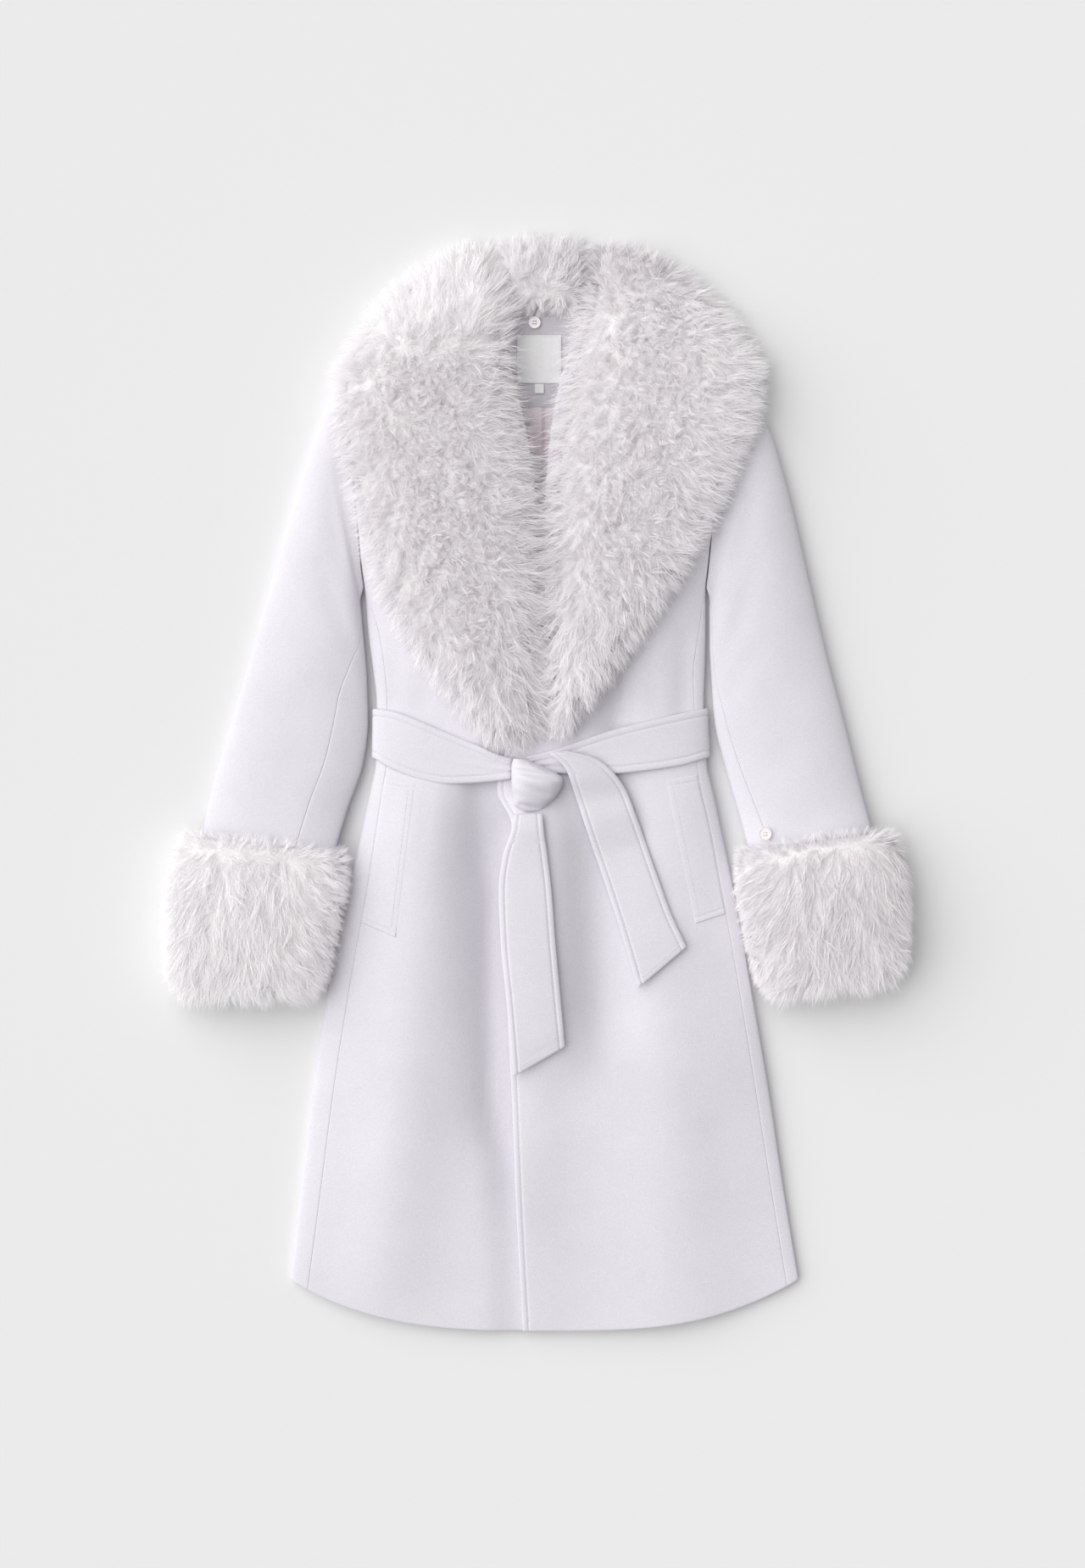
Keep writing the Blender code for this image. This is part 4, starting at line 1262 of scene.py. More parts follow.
def inset_top(piece, thickness, depth):
    """Insets the faces that look up and lie highest."""
    bpy.ops.object.mode_set(mode="EDIT")
    bpy.ops.mesh.select_mode(type="FACE")
    bpy.ops.mesh.select_all(action="DESELECT")
    bpy.ops.object.mode_set(mode="OBJECT")
    top = max(face.center.z for face in piece.data.polygons)
    for face in piece.data.polygons:
        face.select = face.normal.z > 0.9 and face.center.z > top - 1e-6
    bpy.ops.object.mode_set(mode="EDIT")
    bpy.ops.mesh.inset(thickness=thickness, depth=depth)
    bpy.ops.object.mode_set(mode="OBJECT")


def drill_hole(piece, x, y):
    """Cuts one round hole through a button."""
    bpy.ops.mesh.primitive_cylinder_add(vertices=16, radius=HOLE_RADIUS, depth=0.02, location=(x, y, 0))
    drill = bpy.context.object
    bpy.context.view_layer.objects.active = piece
    hole = piece.modifiers.new("hole", "BOOLEAN")
    hole.operation = "DIFFERENCE"
    hole.solver = "EXACT"
    hole.object = drill
    bpy.ops.object.modifier_apply(modifier=hole.name)
    bpy.data.objects.remove(drill, do_unlink=True)


BUTTON_PEARL = button_finish()
print("finish:", BUTTON_PEARL.name)

# %% Make the buttons
def make_button(name, node):
    low, high = (Vector(corner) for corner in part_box(node))
    size = high - low
    bpy.ops.object.select_all(action="DESELECT")
    bpy.ops.mesh.primitive_cylinder_add(vertices=48, radius=size.x / 2, depth=size.z, location=(0, 0, 0))
    piece = bpy.context.object
    piece.name = name
    inset_top(piece, RIM, 0.0)
    inset_top(piece, DISH_SLOPE, -DISH)
    edge = piece.modifiers.new("rounded", "BEVEL")
    edge.width = BUTTON_ROUND
    edge.segments = 3
    edge.limit_method = "ANGLE"
    bpy.ops.object.modifier_apply(modifier=edge.name)
    for x in (-HOLE_OUT, HOLE_OUT):
        for y in (-HOLE_OUT, HOLE_OUT):
            drill_hole(piece, x, y)
    piece.data.materials.clear()
    piece.data.materials.append(BUTTON_PEARL)
    piece.data.transform(Matrix.Translation((low + high) / 2))
    bpy.ops.object.select_all(action="DESELECT")
    piece.select_set(True)
    bpy.context.view_layer.objects.active = piece
    bpy.ops.object.shade_smooth_by_angle(angle=math.radians(35))
    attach(piece, "root")
    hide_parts(node)
    return piece


collar_button = make_button("collar_button_pearl", "collar_button")
cuff_button = make_button("cuff_button_pearl", "cuff_button")
print("buttons:", [len(piece.data.polygons) for piece in (collar_button, cuff_button)], "faces")

# %% Button thread
BAR_SIZE = (1.5, 1.3, 1.3)
BAR_SUNK = 0.5 * MM


def tie_button(name, node):
    """Two bars of thread across the holes of a button."""
    low, high = (Vector(corner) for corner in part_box(node))
    middle = (low + high) / 2
    bars = [
        STITCH_POINTS * BAR_SIZE + (middle.x, middle.y + y, high.z - BAR_SUNK)
        for y in (-HOLE_OUT, HOLE_OUT)
    ]
    faces = [copies(block, len(bars), len(STITCH_POINTS)) for block in STITCH_FACES]
    return mesh_piece(name, np.concatenate(bars), faces, THREAD_FINISH, "button")


tie_button("collar_button_thread", "collar_button")
tie_button("cuff_button_thread", "cuff_button")
print("thread bars on both buttons")

# %% [markdown]
# ## Fur skins
# Long-pile fur is a skin with hair on it. The solids reach as far as the hair does, so each skin lies
# inside its solid, lower and narrower by about the length of the pile. A lapel's skin is a soft pad on
# the fronts, and a cuff's skin is a ring round the sleeve that rests on the floor.

# %% Fur tables
CUFF_COLUMNS = "station outer_x outer_y inner_x inner_y side crown inset floor roof"
CUFF_RIGHT = Track(CUFF_COLUMNS, """
0 -364 -48 -199 -68 18 42 8 4.5 34.5
1 -379 -82 -196 -97 24 57 14 8 35.5
2 -386 -143 -207 -150 25 62 14 8.5 36.5
3 -382 -200 -219 -203 23 57 13 8.5 36.5
4 -366 -229 -238 -229 18 44 8 6 34
""")
CUFF_LEFT = Track(CUFF_COLUMNS, """
0 364 -44 208 -66 18 42 8 4.5 34.5
1 379 -73 205 -95 24 57 14 8 35.5
2 386 -130 215 -152 25 62 14 8.5 36.5
3 382 -183 230 -205 23 57 13 8.5 36.5
4 364 -213 248 -229 18 44 8 6 34
""")
LAPEL_RIGHT = Track(PAD_COLUMNS, """
0 -76 561 -42 565 20
1 -114 544 -37 532 34
2 -158 509 -29 494 42
3 -195 467 -27 460 46
4 -216 425 -26 425 48
5 -218 381 -19 381 48
6 -209 333 -8 337 46
7 -197 284 -1 284 44
8 -182 227 3 227 42
9 -162 179 4 179 40
10 -133 135 4 135 38
11 -100 91 4 95 34
12 -66 54 3 62 28
13 -36 31 -6 35 16
""")
LAPEL_LEFT = Track(PAD_COLUMNS, """
0 52 562 98 560 20
1 51 532 137 543 34
2 47 494 188 509 42
3 34 460 220 473 46
4 26 425 241 434 48
5 19 381 238 390 48
6 11 337 216 333 46
7 8 284 193 280 44
8 7 227 164 231 42
9 7 179 133 186 40
10 7 135 102 143 38
11 7 95 72 101 34
12 7 66 45 66 26
13 12 45 28 46 14
""")
COLLAR_BACK = Track(PAD_COLUMNS, """
0 -40 570 50 568 20
1 -34 532 48 532 36
2 -27 500 45 500 30
3 -26 489 44 489 16
""")
COLLAR_NODES = ("lapel_right", "lapel_left", "collar_back")
FUR_NODES = (*COLLAR_NODES, "cuff_right", "cuff_left")
print("fur pieces:", len(FUR_NODES))

# %% Ground under the fur
GROUND_STEP = 5 * MM


def measure_ground():
    """The height of the cloth, or of the floor, on a raster under the fur, from rays cast down."""
    tree = solid_tree(*[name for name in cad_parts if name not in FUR_NODES])
    xs = np.arange(-0.43, 0.431, GROUND_STEP)
    ys = np.arange(-0.30, 0.631, GROUND_STEP)
    heights = np.zeros((len(xs), len(ys)))
    for i, x in enumerate(xs):
        for j, y in enumerate(ys):
            hit = tree.ray_cast(Vector((x, y, 1.0)), Vector((0, 0, -1)))[0]
            heights[i, j] = hit.z if hit else 0.0
    return xs[0], ys[0], heights


GROUND_X, GROUND_Y, GROUND = measure_ground()


def ground(x, y):
    """Height under the fur between the raster's points."""
    u = np.clip((x - GROUND_X) / GROUND_STEP, 0, GROUND.shape[0] - 1.001)
    v = np.clip((y - GROUND_Y) / GROUND_STEP, 0, GROUND.shape[1] - 1.001)
    i, j = u.astype(int), v.astype(int)
    a, b = u - i, v - j
    return mix(mix(GROUND[i, j], GROUND[i + 1, j], a), mix(GROUND[i, j + 1], GROUND[i + 1, j + 1], a), b)


print("ground raster:", GROUND.shape, "highest:", round(float(GROUND.max()) * 1000, 1), "mm")

# %% Fur finishes
FUR_PAINTED_SHADE_STEPS = 64


def fur_finish():
    """Hair with painted shade: dark at the root along V for shade deep in the pile, heavy to slight along
    U.
    """
    fur = Finish("fur_hair_painted_shade", 0.8, Specular_IOR_Level=0.1, Sheen_Weight=0.05)
    layer = fur.nodes.new("ShaderNodeUVMap")
    layer.uv_map = "OFBake"
    axes = fur.nodes.new("ShaderNodeSeparateXYZ")
    fur.link(layer.outputs["UV"], axes.inputs["Vector"])
    across_painted_shade, along_hair = axes.outputs["X"], axes.outputs["Y"]
    # Painted shade: dark roots stand in for the shade deep in the pile between hairs.
    deep_painted_shade = fur.ramp(
        along_hair,
        (0.0, (0.44, 0.405, 0.425)),
        (0.3, (0.72, 0.684, 0.704)),
        (0.65, (0.897, 0.867, 0.885)),
        (1.0, (0.952, 0.929, 0.945)),
    )
    # The same hair with only slight painted shade at the root.
    light_painted_shade = fur.ramp(
        along_hair,
        (0.0, (0.985, 0.965, 0.979)),
        (0.3, (0.992, 0.975, 0.987)),
        (1.0, (0.996, 0.985, 0.993)),
    )
    # U picks a level between heavy and slight painted shade.
    step = fur.arithmetic("FLOOR", fur.arithmetic("MULTIPLY", across_painted_shade, FUR_PAINTED_SHADE_STEPS), 0.0)
    blend = fur.nodes.new("ShaderNodeMix")
    blend.data_type = "RGBA"
    fur.link(fur.arithmetic("DIVIDE", step, FUR_PAINTED_SHADE_STEPS), blend.inputs["Factor"])
    fur.link(deep_painted_shade, blend.inputs["A"])
    fur.link(light_painted_shade, blend.inputs["B"])
    fur.link(blend.outputs["Result"], fur.surface["Base Color"])
    gloss = fur.arithmetic("ADD", fur.arithmetic("MULTIPLY", along_hair, -0.10), 0.80)
    fur.link(gloss, fur.surface["Roughness"])
    return fur.material


def skin_finish():
    skin = Finish("fur_skin", 0.9)
    wool = skin.grain(420.0, detail=4.0)
    skin.tint(wool, (0.3, (0.78, 0.756, 0.763)), (0.7, (0.90, 0.883, 0.889)))
    skin.bump(wool, 2.0 * MM, 0.6)
    return skin.material


FUR_HAIR_PAINTED_SHADE = fur_finish()
FUR_SKIN = skin_finish()
print("fur finishes:", FUR_HAIR_PAINTED_SHADE.name, FUR_SKIN.name)

# %% Outlines of the fur
OUTLINE_STEP = 2.5 * MM
OUTLINE_GROW = 2


def outline(*names):
    """A function that says which places lie inside some solids, seen from above, or between them."""
    tree = solid_tree(*names)
    corners = np.array([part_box(name) for name in names])
    low, high = corners[:, 0].min(axis=0), corners[:, 1].max(axis=0)
    xs = np.arange(low[0] - 4 * OUTLINE_STEP, high[0] + 4 * OUTLINE_STEP, OUTLINE_STEP)
    ys = np.arange(low[1] - 4 * OUTLINE_STEP, high[1] + 4 * OUTLINE_STEP, OUTLINE_STEP)
    x, y = np.meshgrid(xs, ys, indexing="ij")
    covered = ~np.isnan(underside(tree, x, y))
    covered = np.maximum.accumulate(covered, axis=0) & np.maximum.accumulate(covered[::-1], axis=0)[::-1]
    for _ in range(OUTLINE_GROW):
        for axis in (0, 1):
            covered = covered | np.roll(covered, 1, axis) | np.roll(covered, -1, axis)

    def inside(point):
        i = np.clip(((point[:, 0] - xs[0]) / OUTLINE_STEP + 0.5).astype(int), 0, len(xs) - 1)
        j = np.clip(((point[:, 1] - ys[0]) / OUTLINE_STEP + 0.5).astype(int), 0, len(ys) - 1)
        return covered[i, j]

    return inside


in_collar = outline(*COLLAR_NODES)
OUTLINES = {name: in_collar if name in COLLAR_NODES else outline(name) for name in FUR_NODES}
print("outlines:", len(OUTLINES))

# %% Skin tools
SKIN_POWER = 2.5
SKIN_END = 18 * MM
WIDEST_INSET, SKIN_EDGE = 0.36, 0.3 * MM
ON_CLOTH = 0.4 * MM
HAIR_ABOVE = 6 * MM


def end_taper(points):
    """From 0 at both ends of a strip to 1 a little way in, along its middle line."""
    far = run_length(points[:, points.shape[1] // 2, :2])
    left = np.maximum(0.0, 1.0 - np.minimum(far, far[-1] - far) / SKIN_END)
    return np.sqrt(1.0 - left * left)[:, None]


def make_skin(node, top, under, outward, share, stations):
    """One skin, and what its hair needs to know: points, normals, place in the pattern and limits."""
    piece = closed(f"{node}_skin", node, top, under, FUR_SKIN, "fur", outward)
    normal = grid_normals(top, outward)
    start = top[:-1, :-1]
    area = np.linalg.norm(np.cross(top[1:, :-1] - start, top[:-1, 1:] - start), axis=2)
    return SimpleNamespace(
        piece=piece, point=top, normal=normal, area=area * (normal[:-1, :-1, 2] > -0.25),
        share=share, along=np.repeat(stations[:, None], share.shape[1], axis=1),
        inside=OUTLINES[node], top=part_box(node)[1][2] + HAIR_ABOVE,
    )


def pad_skin(node, track, start, end, insets, plump, rows):
    stations = np.linspace(start, end, rows)
    row = track.at(stations)
    width = np.hypot(row.second_x - row.first_x, row.second_y - row.first_y)
    turn = np.linspace(0.0, math.pi, 25)
    rise = np.maximum(0.0, 1 - np.abs(np.cos(turn)) ** SKIN_POWER) ** (1 / SKIN_POWER)
    first, second = (np.minimum(inset * MM / width, WIDEST_INSET)[:, None] for inset in insets)
    share = mix(first, 1 - second, across(turn)[None])
    x, y = between(row, share)
    base = underside(solid_tree(node), x, y)
    base = np.where(np.isnan(base), ground(x, y) + REST, base) + ON_CLOTH
    flat = np.stack([x, y, base], axis=-1)
    top = flat.copy()
    top[..., 2] += row.loft[:, None] * plump * rise[None] * end_taper(flat) + SKIN_EDGE
    return make_skin(node, top, flat, -1.0, share, stations)


print("skins end in a round of", round(SKIN_END * 1000), "mm")

# %% Cuff skin tool
FLOOR_POWER, FLOOR_FLAT, CUFF_POWER = 4.0, 0.94, 2.8
CUFF_START, CUFF_END = 0.22, 3.45
CUFF_PLUMP, CUFF_ON_FLOOR, CUFF_THIN = 0.46, 0.97, 0.06
TUNNEL_GAP = 0.5 * MM


def cuff_skin(node, track, outward):
    stations = np.linspace(CUFF_START, CUFF_END, 34)
    place = track.at(stations)
    width = np.abs(place.outer_x - place.inner_x)
    angle = np.linspace(-math.pi / 2 + 0.004, 1.5 * math.pi - 0.004, 45)
    reach, upper = np.cos(angle), np.sin(angle) >= 0
    power = np.where(upper, CUFF_POWER, FLOOR_POWER)
    rise = np.maximum(0.0, 1 - np.abs(reach) ** power) ** (1 / power)
    low = np.minimum(1.0, rise / FLOOR_FLAT)

    def ring(inset, floor_height, roof):
        edge = (inset / width)[:, None]
        share = mix(edge, 1 - edge, ((1 - reach) / 2)[None])
        over = mix(place.side[:, None], roof[:, None], rise[None])
        under = mix(place.side[:, None], floor_height[:, None], low[None])
        x = mix(place.outer_x[:, None], place.inner_x[:, None], share)
        y = mix(place.outer_y[:, None], place.inner_y[:, None], share)
        return np.stack([x, y, np.where(upper[None], over, under)], axis=-1), share

    none = np.zeros_like(stations)
    outside, share = ring(none, none + ON_CLOTH, place.crown)
    tunnel, _ = ring(place.inset - TUNNEL_GAP, place.floor - TUNNEL_GAP, place.roof + TUNNEL_GAP)
    grown = mix(CUFF_PLUMP, CUFF_ON_FLOOR, smooth(-np.sin(angle) * 2.5))[None] * end_taper(outside)
    top = mix(tunnel, outside, np.maximum(grown, CUFF_THIN)[..., None])
    return make_skin(node, top, tunnel, outward, share, stations)


print("cuff skins from station", CUFF_START, "to", CUFF_END)

# %% Make the skins
skins = {
    "lapel_right": pad_skin("lapel_right", LAPEL_RIGHT, 0.35, 12.2, (20, 13), 0.56, 56),
    "lapel_left": pad_skin("lapel_left", LAPEL_LEFT, 0.35, 12.3, (14, 20), 0.56, 56),
    "collar_back": pad_skin("collar_back", COLLAR_BACK, 0.35, 2.45, (3, 3), 0.60, 20),
    "cuff_right": cuff_skin("cuff_right", CUFF_RIGHT, -1.0),
    "cuff_left": cuff_skin("cuff_left", CUFF_LEFT, 1.0),
}
print("skin areas, m2:", {name: round(float(skin.area.sum()), 4) for name, skin in skins.items()})

# %% [markdown]
# ## How the fur is combed
# Fur has a direction. In the middle of a lapel it stands up, short and dense, and only its tips show. It
# falls outwards over both long edges and flows down to the belt. On the collar it parts, up and down. On
# the cuffs it flows towards the hand and fans out at the sides. Each rule gives the flow at a place, how
# much the hair stands up, its length, how far the place belongs to the upright middle, and its level of
# painted light: more painted shade where the hair stands up and shades itself, less where it lies flat.

# %% Comb the lapels
def combed(flow_x, flow_y, lift, length, upright, tone):
    return SimpleNamespace(
        flow_x=flow_x, flow_y=flow_y, lift=lift, length=length * MM, upright=upright, tone=tone
    )


def comb_lapel_right(at):
    outer, inner = smooth((0.38 - at.share) / 0.30), smooth((at.share - 0.64) / 0.26)
    lower, upper = smooth((at.along - 8.0) / 3.5), smooth((4.2 - at.along) / 2.4)
    flow_x = 0.10 - 1.20 * outer * (1 - 0.55 * lower) + 1.50 * inner * (1 - 0.45 * lower) + 0.20 * lower
    flow_y = -0.45 - 0.40 * outer + 0.05 * inner - 1.60 * lower + 1.90 * upper
    upright = (1 - np.maximum(outer, inner)) * (1 - 0.8 * lower) * (1 - 0.95 * upper)
    below = smooth((at.along - 5.5) / 2)
    length = 18 + 18 * outer + 13 * inner + 10 * inner * below + 17 * lower + 9 * upper
    # Painted light level: painted shade in the upright middle, along the inner edge, low towards the inner
    # side and a little on the outer edge; painted light at the top.
    tone = 60 - 44 * upright - 14 * inner * (1 - lower) - 14 * lower * smooth((at.share - 0.35) / 0.3)
    tone = tone - 8 * outer * (1 - upper) + 16 * upper
    return combed(flow_x, flow_y, 0.18 - 0.05 * upper + 0.48 * upright, length, upright, tone)


def comb_lapel_left(at):
    inner, outer = smooth((0.32 - at.share) / 0.26), smooth((at.share - 0.54) / 0.32)
    lower, upper = smooth((at.along - 7.0) / 3.5), smooth((2.6 - at.along) / 2.2)
    flow_x = -0.05 - 1.25 * inner * (1 - 0.45 * lower) + 1.35 * outer * (1 - 0.6 * lower) - 0.15 * lower
    flow_y = -0.45 - 0.30 * inner + 0.15 * outer * (1 - lower) - 1.60 * lower + 1.80 * upper
    upright = (1 - np.maximum(outer, inner)) * (1 - 0.8 * lower) * (1 - 0.3 * upper)
    below = smooth((at.along - 5.5) / 2)
    length = 18 + 17 * outer + 13 * inner + 6 * inner * below + 17 * lower + 6 * upper
    # Painted light level: painted shade in the upright middle, along the inner edge and at the top.
    tone = 63 - 37 * upright - 18 * inner * (1 - lower) - 42 * upper
    return combed(flow_x, flow_y, 0.18 + 0.48 * upright, length, upright, tone)


middle = comb_lapel_left(SimpleNamespace(share=np.array([0.43]), along=np.array([5.0])))
print("hair in the middle of a lapel:", round(float(middle.length[0]) * 1000, 1), "mm long")

# %% Comb the collar and the cuffs
def comb_collar_back(at):
    upper = smooth((2.0 - at.along) / 0.6)
    even = np.ones_like(upper)
    # An even level of painted shade over the whole collar.
    return combed(
        (at.share - 0.5) * 1.3, mix(-1.0, 1.2, upper), 0.30 * even, 17 + 8 * upper, 0.35 * even, 46 * even
    )


def comb_cuff(at, side, tone):
    """Shared by both cuffs: side says which way is towards the body."""
    outer, inner = smooth((0.32 - at.share) / 0.3), smooth((at.share - 0.62) / 0.3)
    hand, top = at.along / 4, smooth((1.05 - at.along) / 0.9)
    parting = top * (1 - top)
    flow_x = side * (0.06 - 0.60 * outer + 1.20 * inner * (1 - 0.55 * hand))
    flow_y = -1.0 + 0.35 * inner * (1 - hand) + 1.75 * top
    lift = 0.17 - 0.05 * hand + 0.8 * parting
    length = 34 + 8 * hand - 9 * inner - 10 * top
    # The parting, where the hair stands up, gets painted shade.
    return combed(flow_x, flow_y, lift, length, 0.10 + parting, tone - 50 * parting)


COMBS = {
    "lapel_right": comb_lapel_right,
    "lapel_left": comb_lapel_left,
    "collar_back": comb_collar_back,
    # The same hair on both cuffs as a lit and a shaded copy: the left cuff, on the side away from the sun,
    # gets much more painted shade.
    "cuff_right": partial(comb_cuff, side=1.0, tone=64),
    "cuff_left": partial(comb_cuff, side=-1.0, tone=40),
}
print("combed:", ", ".join(COMBS))

# %% [markdown]
# ## Growing the hair
# Hairs don't stand alone. They gather in tufts a few millimetres wide, and tufts gather in locks. Roots
# are scattered over a skin by area, the long guard hairs mostly along the edges and the short tips in the
# upright middle. Each hair takes its direction from its tuft, leans in to the tuft's middle and less so
# to the lock's, and a few stray. A hair is a closed spindle with three sides, so each piece is one mesh
# made from arrays. No hair dips under the cloth or the floor, or stands far above its solid.

# %% Scatter and gather
TUFT, LOCK = 4.2 * MM, 16.0 * MM
HAIR_GAP = 1.0 * MM


def scatter(skin, count, dice, favour=1.0):
    """Random places on a skin, by area times a favour for each of its cells."""
    weight = skin.area * favour
    weight = weight.ravel() / weight.sum()
    row, column = np.unravel_index(dice.choice(weight.size, count, p=weight), skin.area.shape)
    a, b = dice.random(count), dice.random(count)

    def pick(values):
        u, v = (a[:, None], b[:, None]) if values.ndim == 3 else (a, b)
        low = mix(values[row, column], values[row, column + 1], u)
        high = mix(values[row + 1, column], values[row + 1, column + 1], u)
        return mix(low, high, v)

    return SimpleNamespace(
        point=pick(skin.point), normal=unit_rows(pick(skin.normal)),
        share=pick(skin.share), along=pick(skin.along),
    )


def nearest(points, centres):
    """For each point, the number of the nearest centre."""
    tree = KDTree(len(centres))
    for number, centre in enumerate(centres):
        tree.insert(centre, number)
    tree.balance()
    return np.array([tree.find(point)[1] for point in points])


print("tufts", round(TUFT * 1000, 1), "mm and locks", round(LOCK * 1000, 1), "mm across")

# %% Tufts
def tuft_layout(skin, comb, seed):
    """The tufts of a skin: where they stand, and the flow, lift, length, bend and painted light level of
    each.
    """
    dice = np.random.default_rng(seed)
    total = skin.area.sum()
    locks = scatter(skin, max(4, int(total / LOCK ** 2)), dice)
    tufts = scatter(skin, max(8, int(total / TUFT ** 2)), dice)
    lock = nearest(tufts.point, locks.point)
    rule = comb(tufts)
    swing = (0.20 + 0.4 * rule.upright) * dice.standard_normal(len(locks.point))[lock]
    swing += (0.14 + 1.1 * rule.upright) * dice.standard_normal(len(lock))
    # The comb's level of painted light, shifted at random for each lock and each tuft.
    tone = rule.tone + 3 * dice.standard_normal(len(locks.point))[lock]
    tone -= 9 * np.abs(dice.standard_normal(len(lock))) - 6
    flow = np.stack([
        rule.flow_x * np.cos(swing) - rule.flow_y * np.sin(swing),
        rule.flow_x * np.sin(swing) + rule.flow_y * np.cos(swing),
        0 * swing,
    ], axis=1)
    return SimpleNamespace(
        point=tufts.point,
        flow=unit_rows(flow),
        lift=np.clip(rule.lift + 0.10 * dice.standard_normal(len(lock)), 0.12, 0.95),
        length=rule.length * (0.90 + 0.16 * dice.standard_normal(len(lock))),
        to_lock=(locks.point[lock] - tufts.point) * 0.18,
        phase=dice.uniform(0, 2 * math.pi, len(lock)),
        bend=dice.standard_normal(len(lock)) * 0.09,
        shade=tone,
    )


print("layout of tufts ready")

# %% Hair lines
def hair_kind(name, width, steps, scale, where):
    return SimpleNamespace(name=name, width=width * MM, steps=steps, scale=scale, where=where)


GUARD = hair_kind("guard_hair", 0.50, (0.0, 0.38, 0.72, 1.0), 1.05, -0.7)
UNDER = hair_kind("underfur", 0.48, (0.0, 0.5, 1.0), 0.88, 0.0)
TIPS = hair_kind("fur_tips", 0.58, (0.0, 0.55, 1.0), 0.95, 1.0)
STRAY, STRAY_LENGTH = 0.07, 1.15
LOOSE, LOOSE_STRAY = 0.13, 0.7
GATHER, GATHER_STRAY = 0.50, 0.1
SAG, CURL = 0.16, 0.045
SHORTEST, LONGEST = 7 * MM, 60 * MM


def shortened(roots, reach, long, inside, dice):
    """Hair lengths, cut back in steps so that the tips end about where the solid does."""
    margin = dice.uniform(0.80, 1.16, (len(long), 1))
    fits = np.full((len(long), 1), 0.35)
    for share in (0.5, 0.65, 0.8, 0.9, 1.0):
        fits[inside(roots + reach * long * share * margin)] = share
    return long * fits


def hair_lines(skin, comb, layout, kind, count, seed):
    """The middle line of every hair, as points at some steps from root to tip, and its painted light level.
    """
    dice = np.random.default_rng(seed)
    cells = comb(SimpleNamespace(share=skin.share[:-1, :-1], along=skin.along[:-1, :-1]))
    favour = np.maximum(0.04, cells.upright) if kind.where > 0 else 1.0 + kind.where * cells.upright
    roots = scatter(skin, count, dice, favour)
    tuft = nearest(roots.point, layout.point)
    stray = (dice.random(count) < STRAY)[:, None]
    loose = np.where(stray, LOOSE_STRAY, LOOSE) * dice.standard_normal((count, 3)) * (1, 1, 0.3)
    flow = unit_rows(layout.flow[tuft] + loose)
    lift = layout.lift[tuft][:, None]
    start = unit_rows(roots.normal * lift + flow * (1 - lift))
    sag = np.array([0, 0, SAG]) * (1 - lift)
    end = unit_rows(flow * (1 - 0.45 * lift) + roots.normal * (0.35 * lift) - sag)
    long = layout.length[tuft] * dice.uniform(0.68, 1.08, count) * np.where(stray[:, 0], STRAY_LENGTH, 1.0)
    long = np.clip(long * kind.scale, SHORTEST, LONGEST)[:, None]
    long = shortened(roots.point, (start + end) / 2, long, skin.inside, dice)
    to_tuft = (layout.point[tuft] - roots.point) * np.where(stray, GATHER_STRAY, GATHER)
    sideways = unit_rows(np.cross(flow, [0.0, 0.0, 1.0]))
    phase, bend = layout.phase[tuft][:, None], layout.bend[tuft][:, None]
    lines = []
    for t in kind.steps:
        point = roots.point + long * (start * (t - 0.5 * t * t) + end * (0.5 * t * t))
        point = point + to_tuft * t ** 1.3 + layout.to_lock[tuft] * t ** 1.6
        point = point + sideways * long * (bend * t * t + CURL * t * np.sin(2.2 * math.pi * t + phase))
        if t > 0:
            lowest = ground(point[:, 0], point[:, 1]) + HAIR_GAP
            point[:, 2] = np.clip(point[:, 2], lowest, np.maximum(lowest, skin.top))
        lines.append(point)
    # Each hair's painted light level: its tuft's level with a random shift, one step of the hair's colour
    # ramp.
    shade = np.clip(layout.shade[tuft] + 6 * dice.standard_normal(count), 0, FUR_PAINTED_SHADE_STEPS - 1).astype(int)
    return np.stack(lines, axis=1), shade


print("kinds of hair:", [kind.name for kind in (GUARD, UNDER, TIPS)])

# %% Grow tool
def spindle(rings):
    """Faces of a closed three-sided spindle: a point, some rings and a point."""
    last, tip = rings * 3 - 2, rings * 3 + 1
    triangles = [(0, 1 + (k + 1) % 3, 1 + k) for k in range(3)]
    triangles += [(last + k, last + (k + 1) % 3, tip) for k in range(3)]
    quads = [
        (ring * 3 + 1 + k, ring * 3 + 1 + (k + 1) % 3, ring * 3 + 4 + (k + 1) % 3, ring * 3 + 4 + k)
        for ring in range(rings - 1) for k in range(3)
    ]
    return [np.array(block) for block in (triangles, quads) if block]


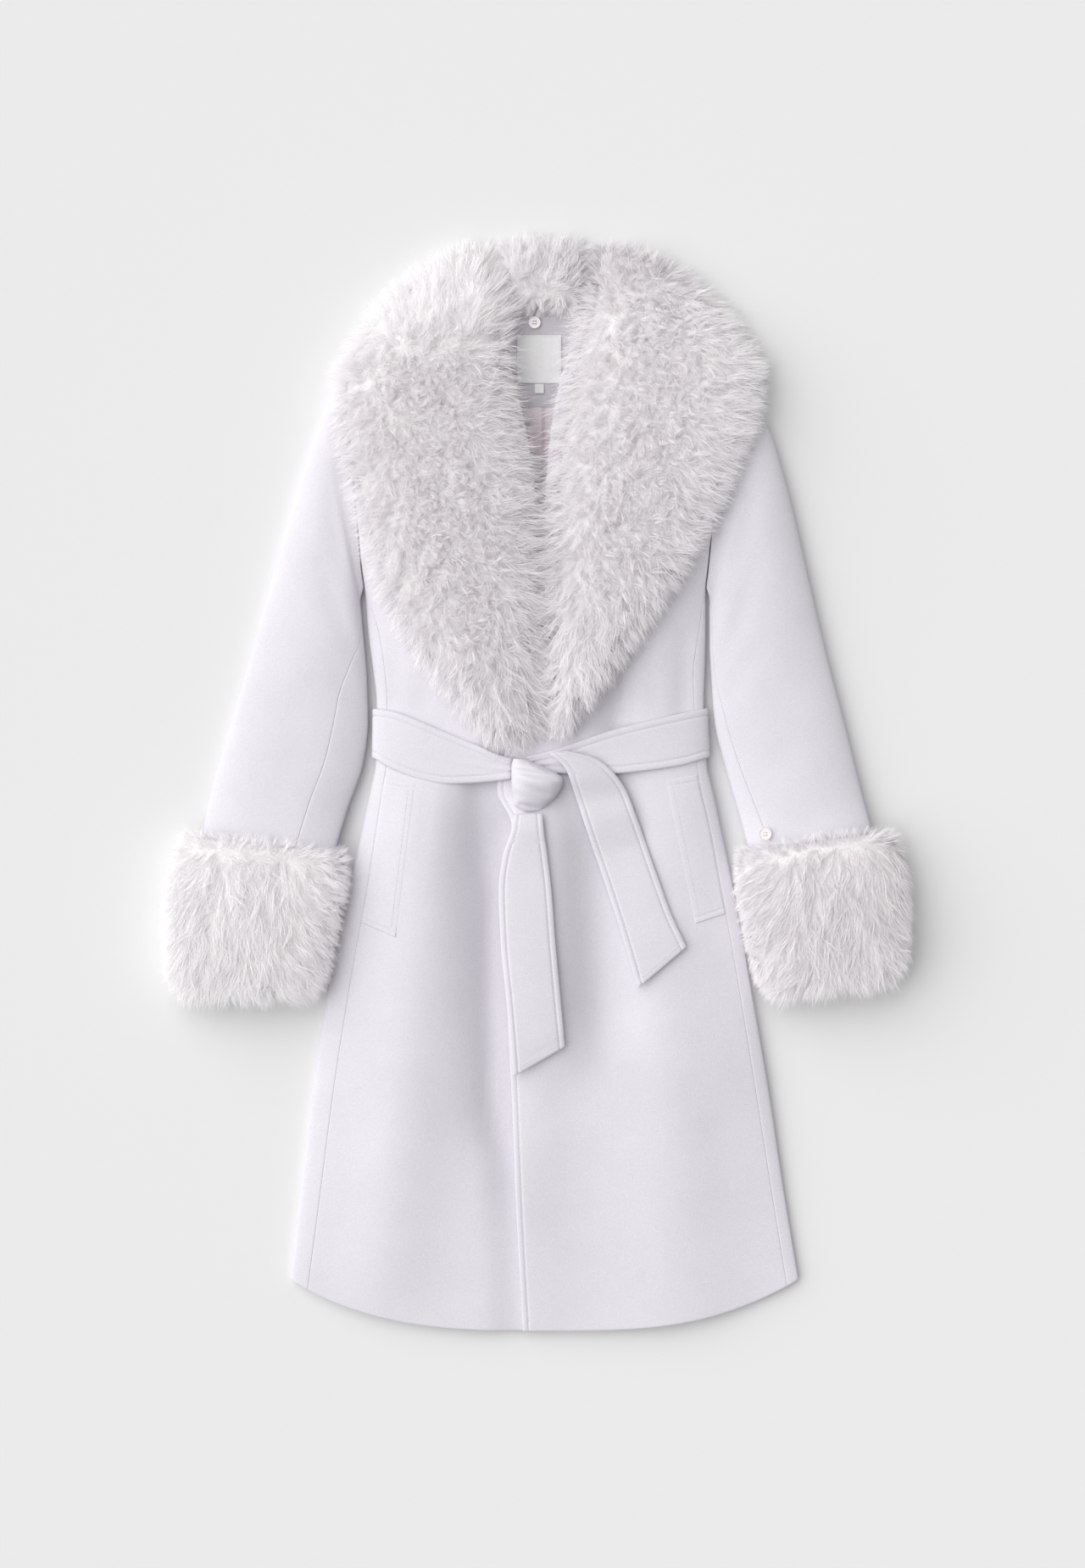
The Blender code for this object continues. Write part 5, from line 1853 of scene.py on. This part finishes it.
def grow(name, skin, comb, layout, kind, count, seed):
    """One piece with all the hairs of one kind on a skin."""
    lines, shade = hair_lines(skin, comb, layout, kind, count, seed)
    dice = np.random.default_rng(seed + 1)
    rings = len(kind.steps) - 2
    tangent = unit_rows(np.gradient(lines, axis=1))[:, 1:-1]
    side = unit_rows(np.cross(tangent, unit_rows(dice.standard_normal((count, 1, 3)))))
    flat = np.cross(tangent, side)
    taper = np.interp(np.array(kind.steps[1:-1]), (0.0, 0.35, 0.75, 1.0), (0.8, 1.0, 0.72, 0.2))
    thick = (taper * kind.width / 2)[None, :, None] * dice.uniform(0.75, 1.25, (count, 1, 1))
    corners = [
        lines[:, 1:-1] + (side * math.cos(turn) + flat * (math.sin(turn) * 0.7)) * thick
        for turn in (0.0, 2 * math.pi / 3, 4 * math.pi / 3)
    ]
    body = np.stack(corners, axis=2).reshape(count, rings * 3, 3)
    points = np.concatenate([lines[:, :1], body, lines[:, -1:]], axis=1)
    faces = [copies(block, count, points.shape[1]) for block in spindle(rings)]
    piece = mesh_piece(f"{name}_{kind.name}", points.reshape(-1, 3), faces, FUR_HAIR_PAINTED_SHADE, "fur")
    piece.data.shade_flat()
    # U picks the hair's level of painted light; V runs from the painted shade at the root to the tip.
    u = (shade[:, None] + np.array([0.5] + [0.1, 0.5, 0.9] * rings + [0.5])[None]) / FUR_PAINTED_SHADE_STEPS
    v = np.concatenate([[0.0], np.repeat(kind.steps[1:-1], 3), [1.0]]) * 0.98 + 0.01
    place = np.stack([u, np.repeat(v[None], count, axis=0)], axis=-1).reshape(-1, 2)
    corner = np.empty(len(piece.data.loops), np.int32)
    piece.data.loops.foreach_get("vertex_index", corner)
    layer = piece.data.uv_layers.new(name="OFBake")
    layer.data.foreach_set("uv", place[corner].astype(np.float32).ravel())
    return piece


print("spindle faces:", [[len(block) for block in spindle(len(kind.steps) - 2)] for kind in (GUARD, UNDER)])

# %% Grow the fur
LAPEL_HAIRS = ((UNDER, 15500), (GUARD, 7200), (TIPS, 9500))
CUFF_HAIRS = ((UNDER, 8500), (GUARD, 6000))
HAIRS = {
    "lapel_right": LAPEL_HAIRS,
    "lapel_left": LAPEL_HAIRS,
    "collar_back": ((UNDER, 2600), (GUARD, 1300), (TIPS, 1200)),
    "cuff_right": CUFF_HAIRS,
    "cuff_left": CUFF_HAIRS,
}
for number, (name, kinds) in enumerate(HAIRS.items()):
    layout = tuft_layout(skins[name], COMBS[name], number)
    [
        grow(name, skins[name], COMBS[name], layout, kind, count, 100 * row + number)
        for row, (kind, count) in enumerate(kinds, 1)
    ]

# %% [markdown]
# ## Bringing the scene up to date
# Every piece of cloth or fur was cut flat before it was sewn. This last cell only brings the scene up to
# date.


# %% Update the scene
bpy.context.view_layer.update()
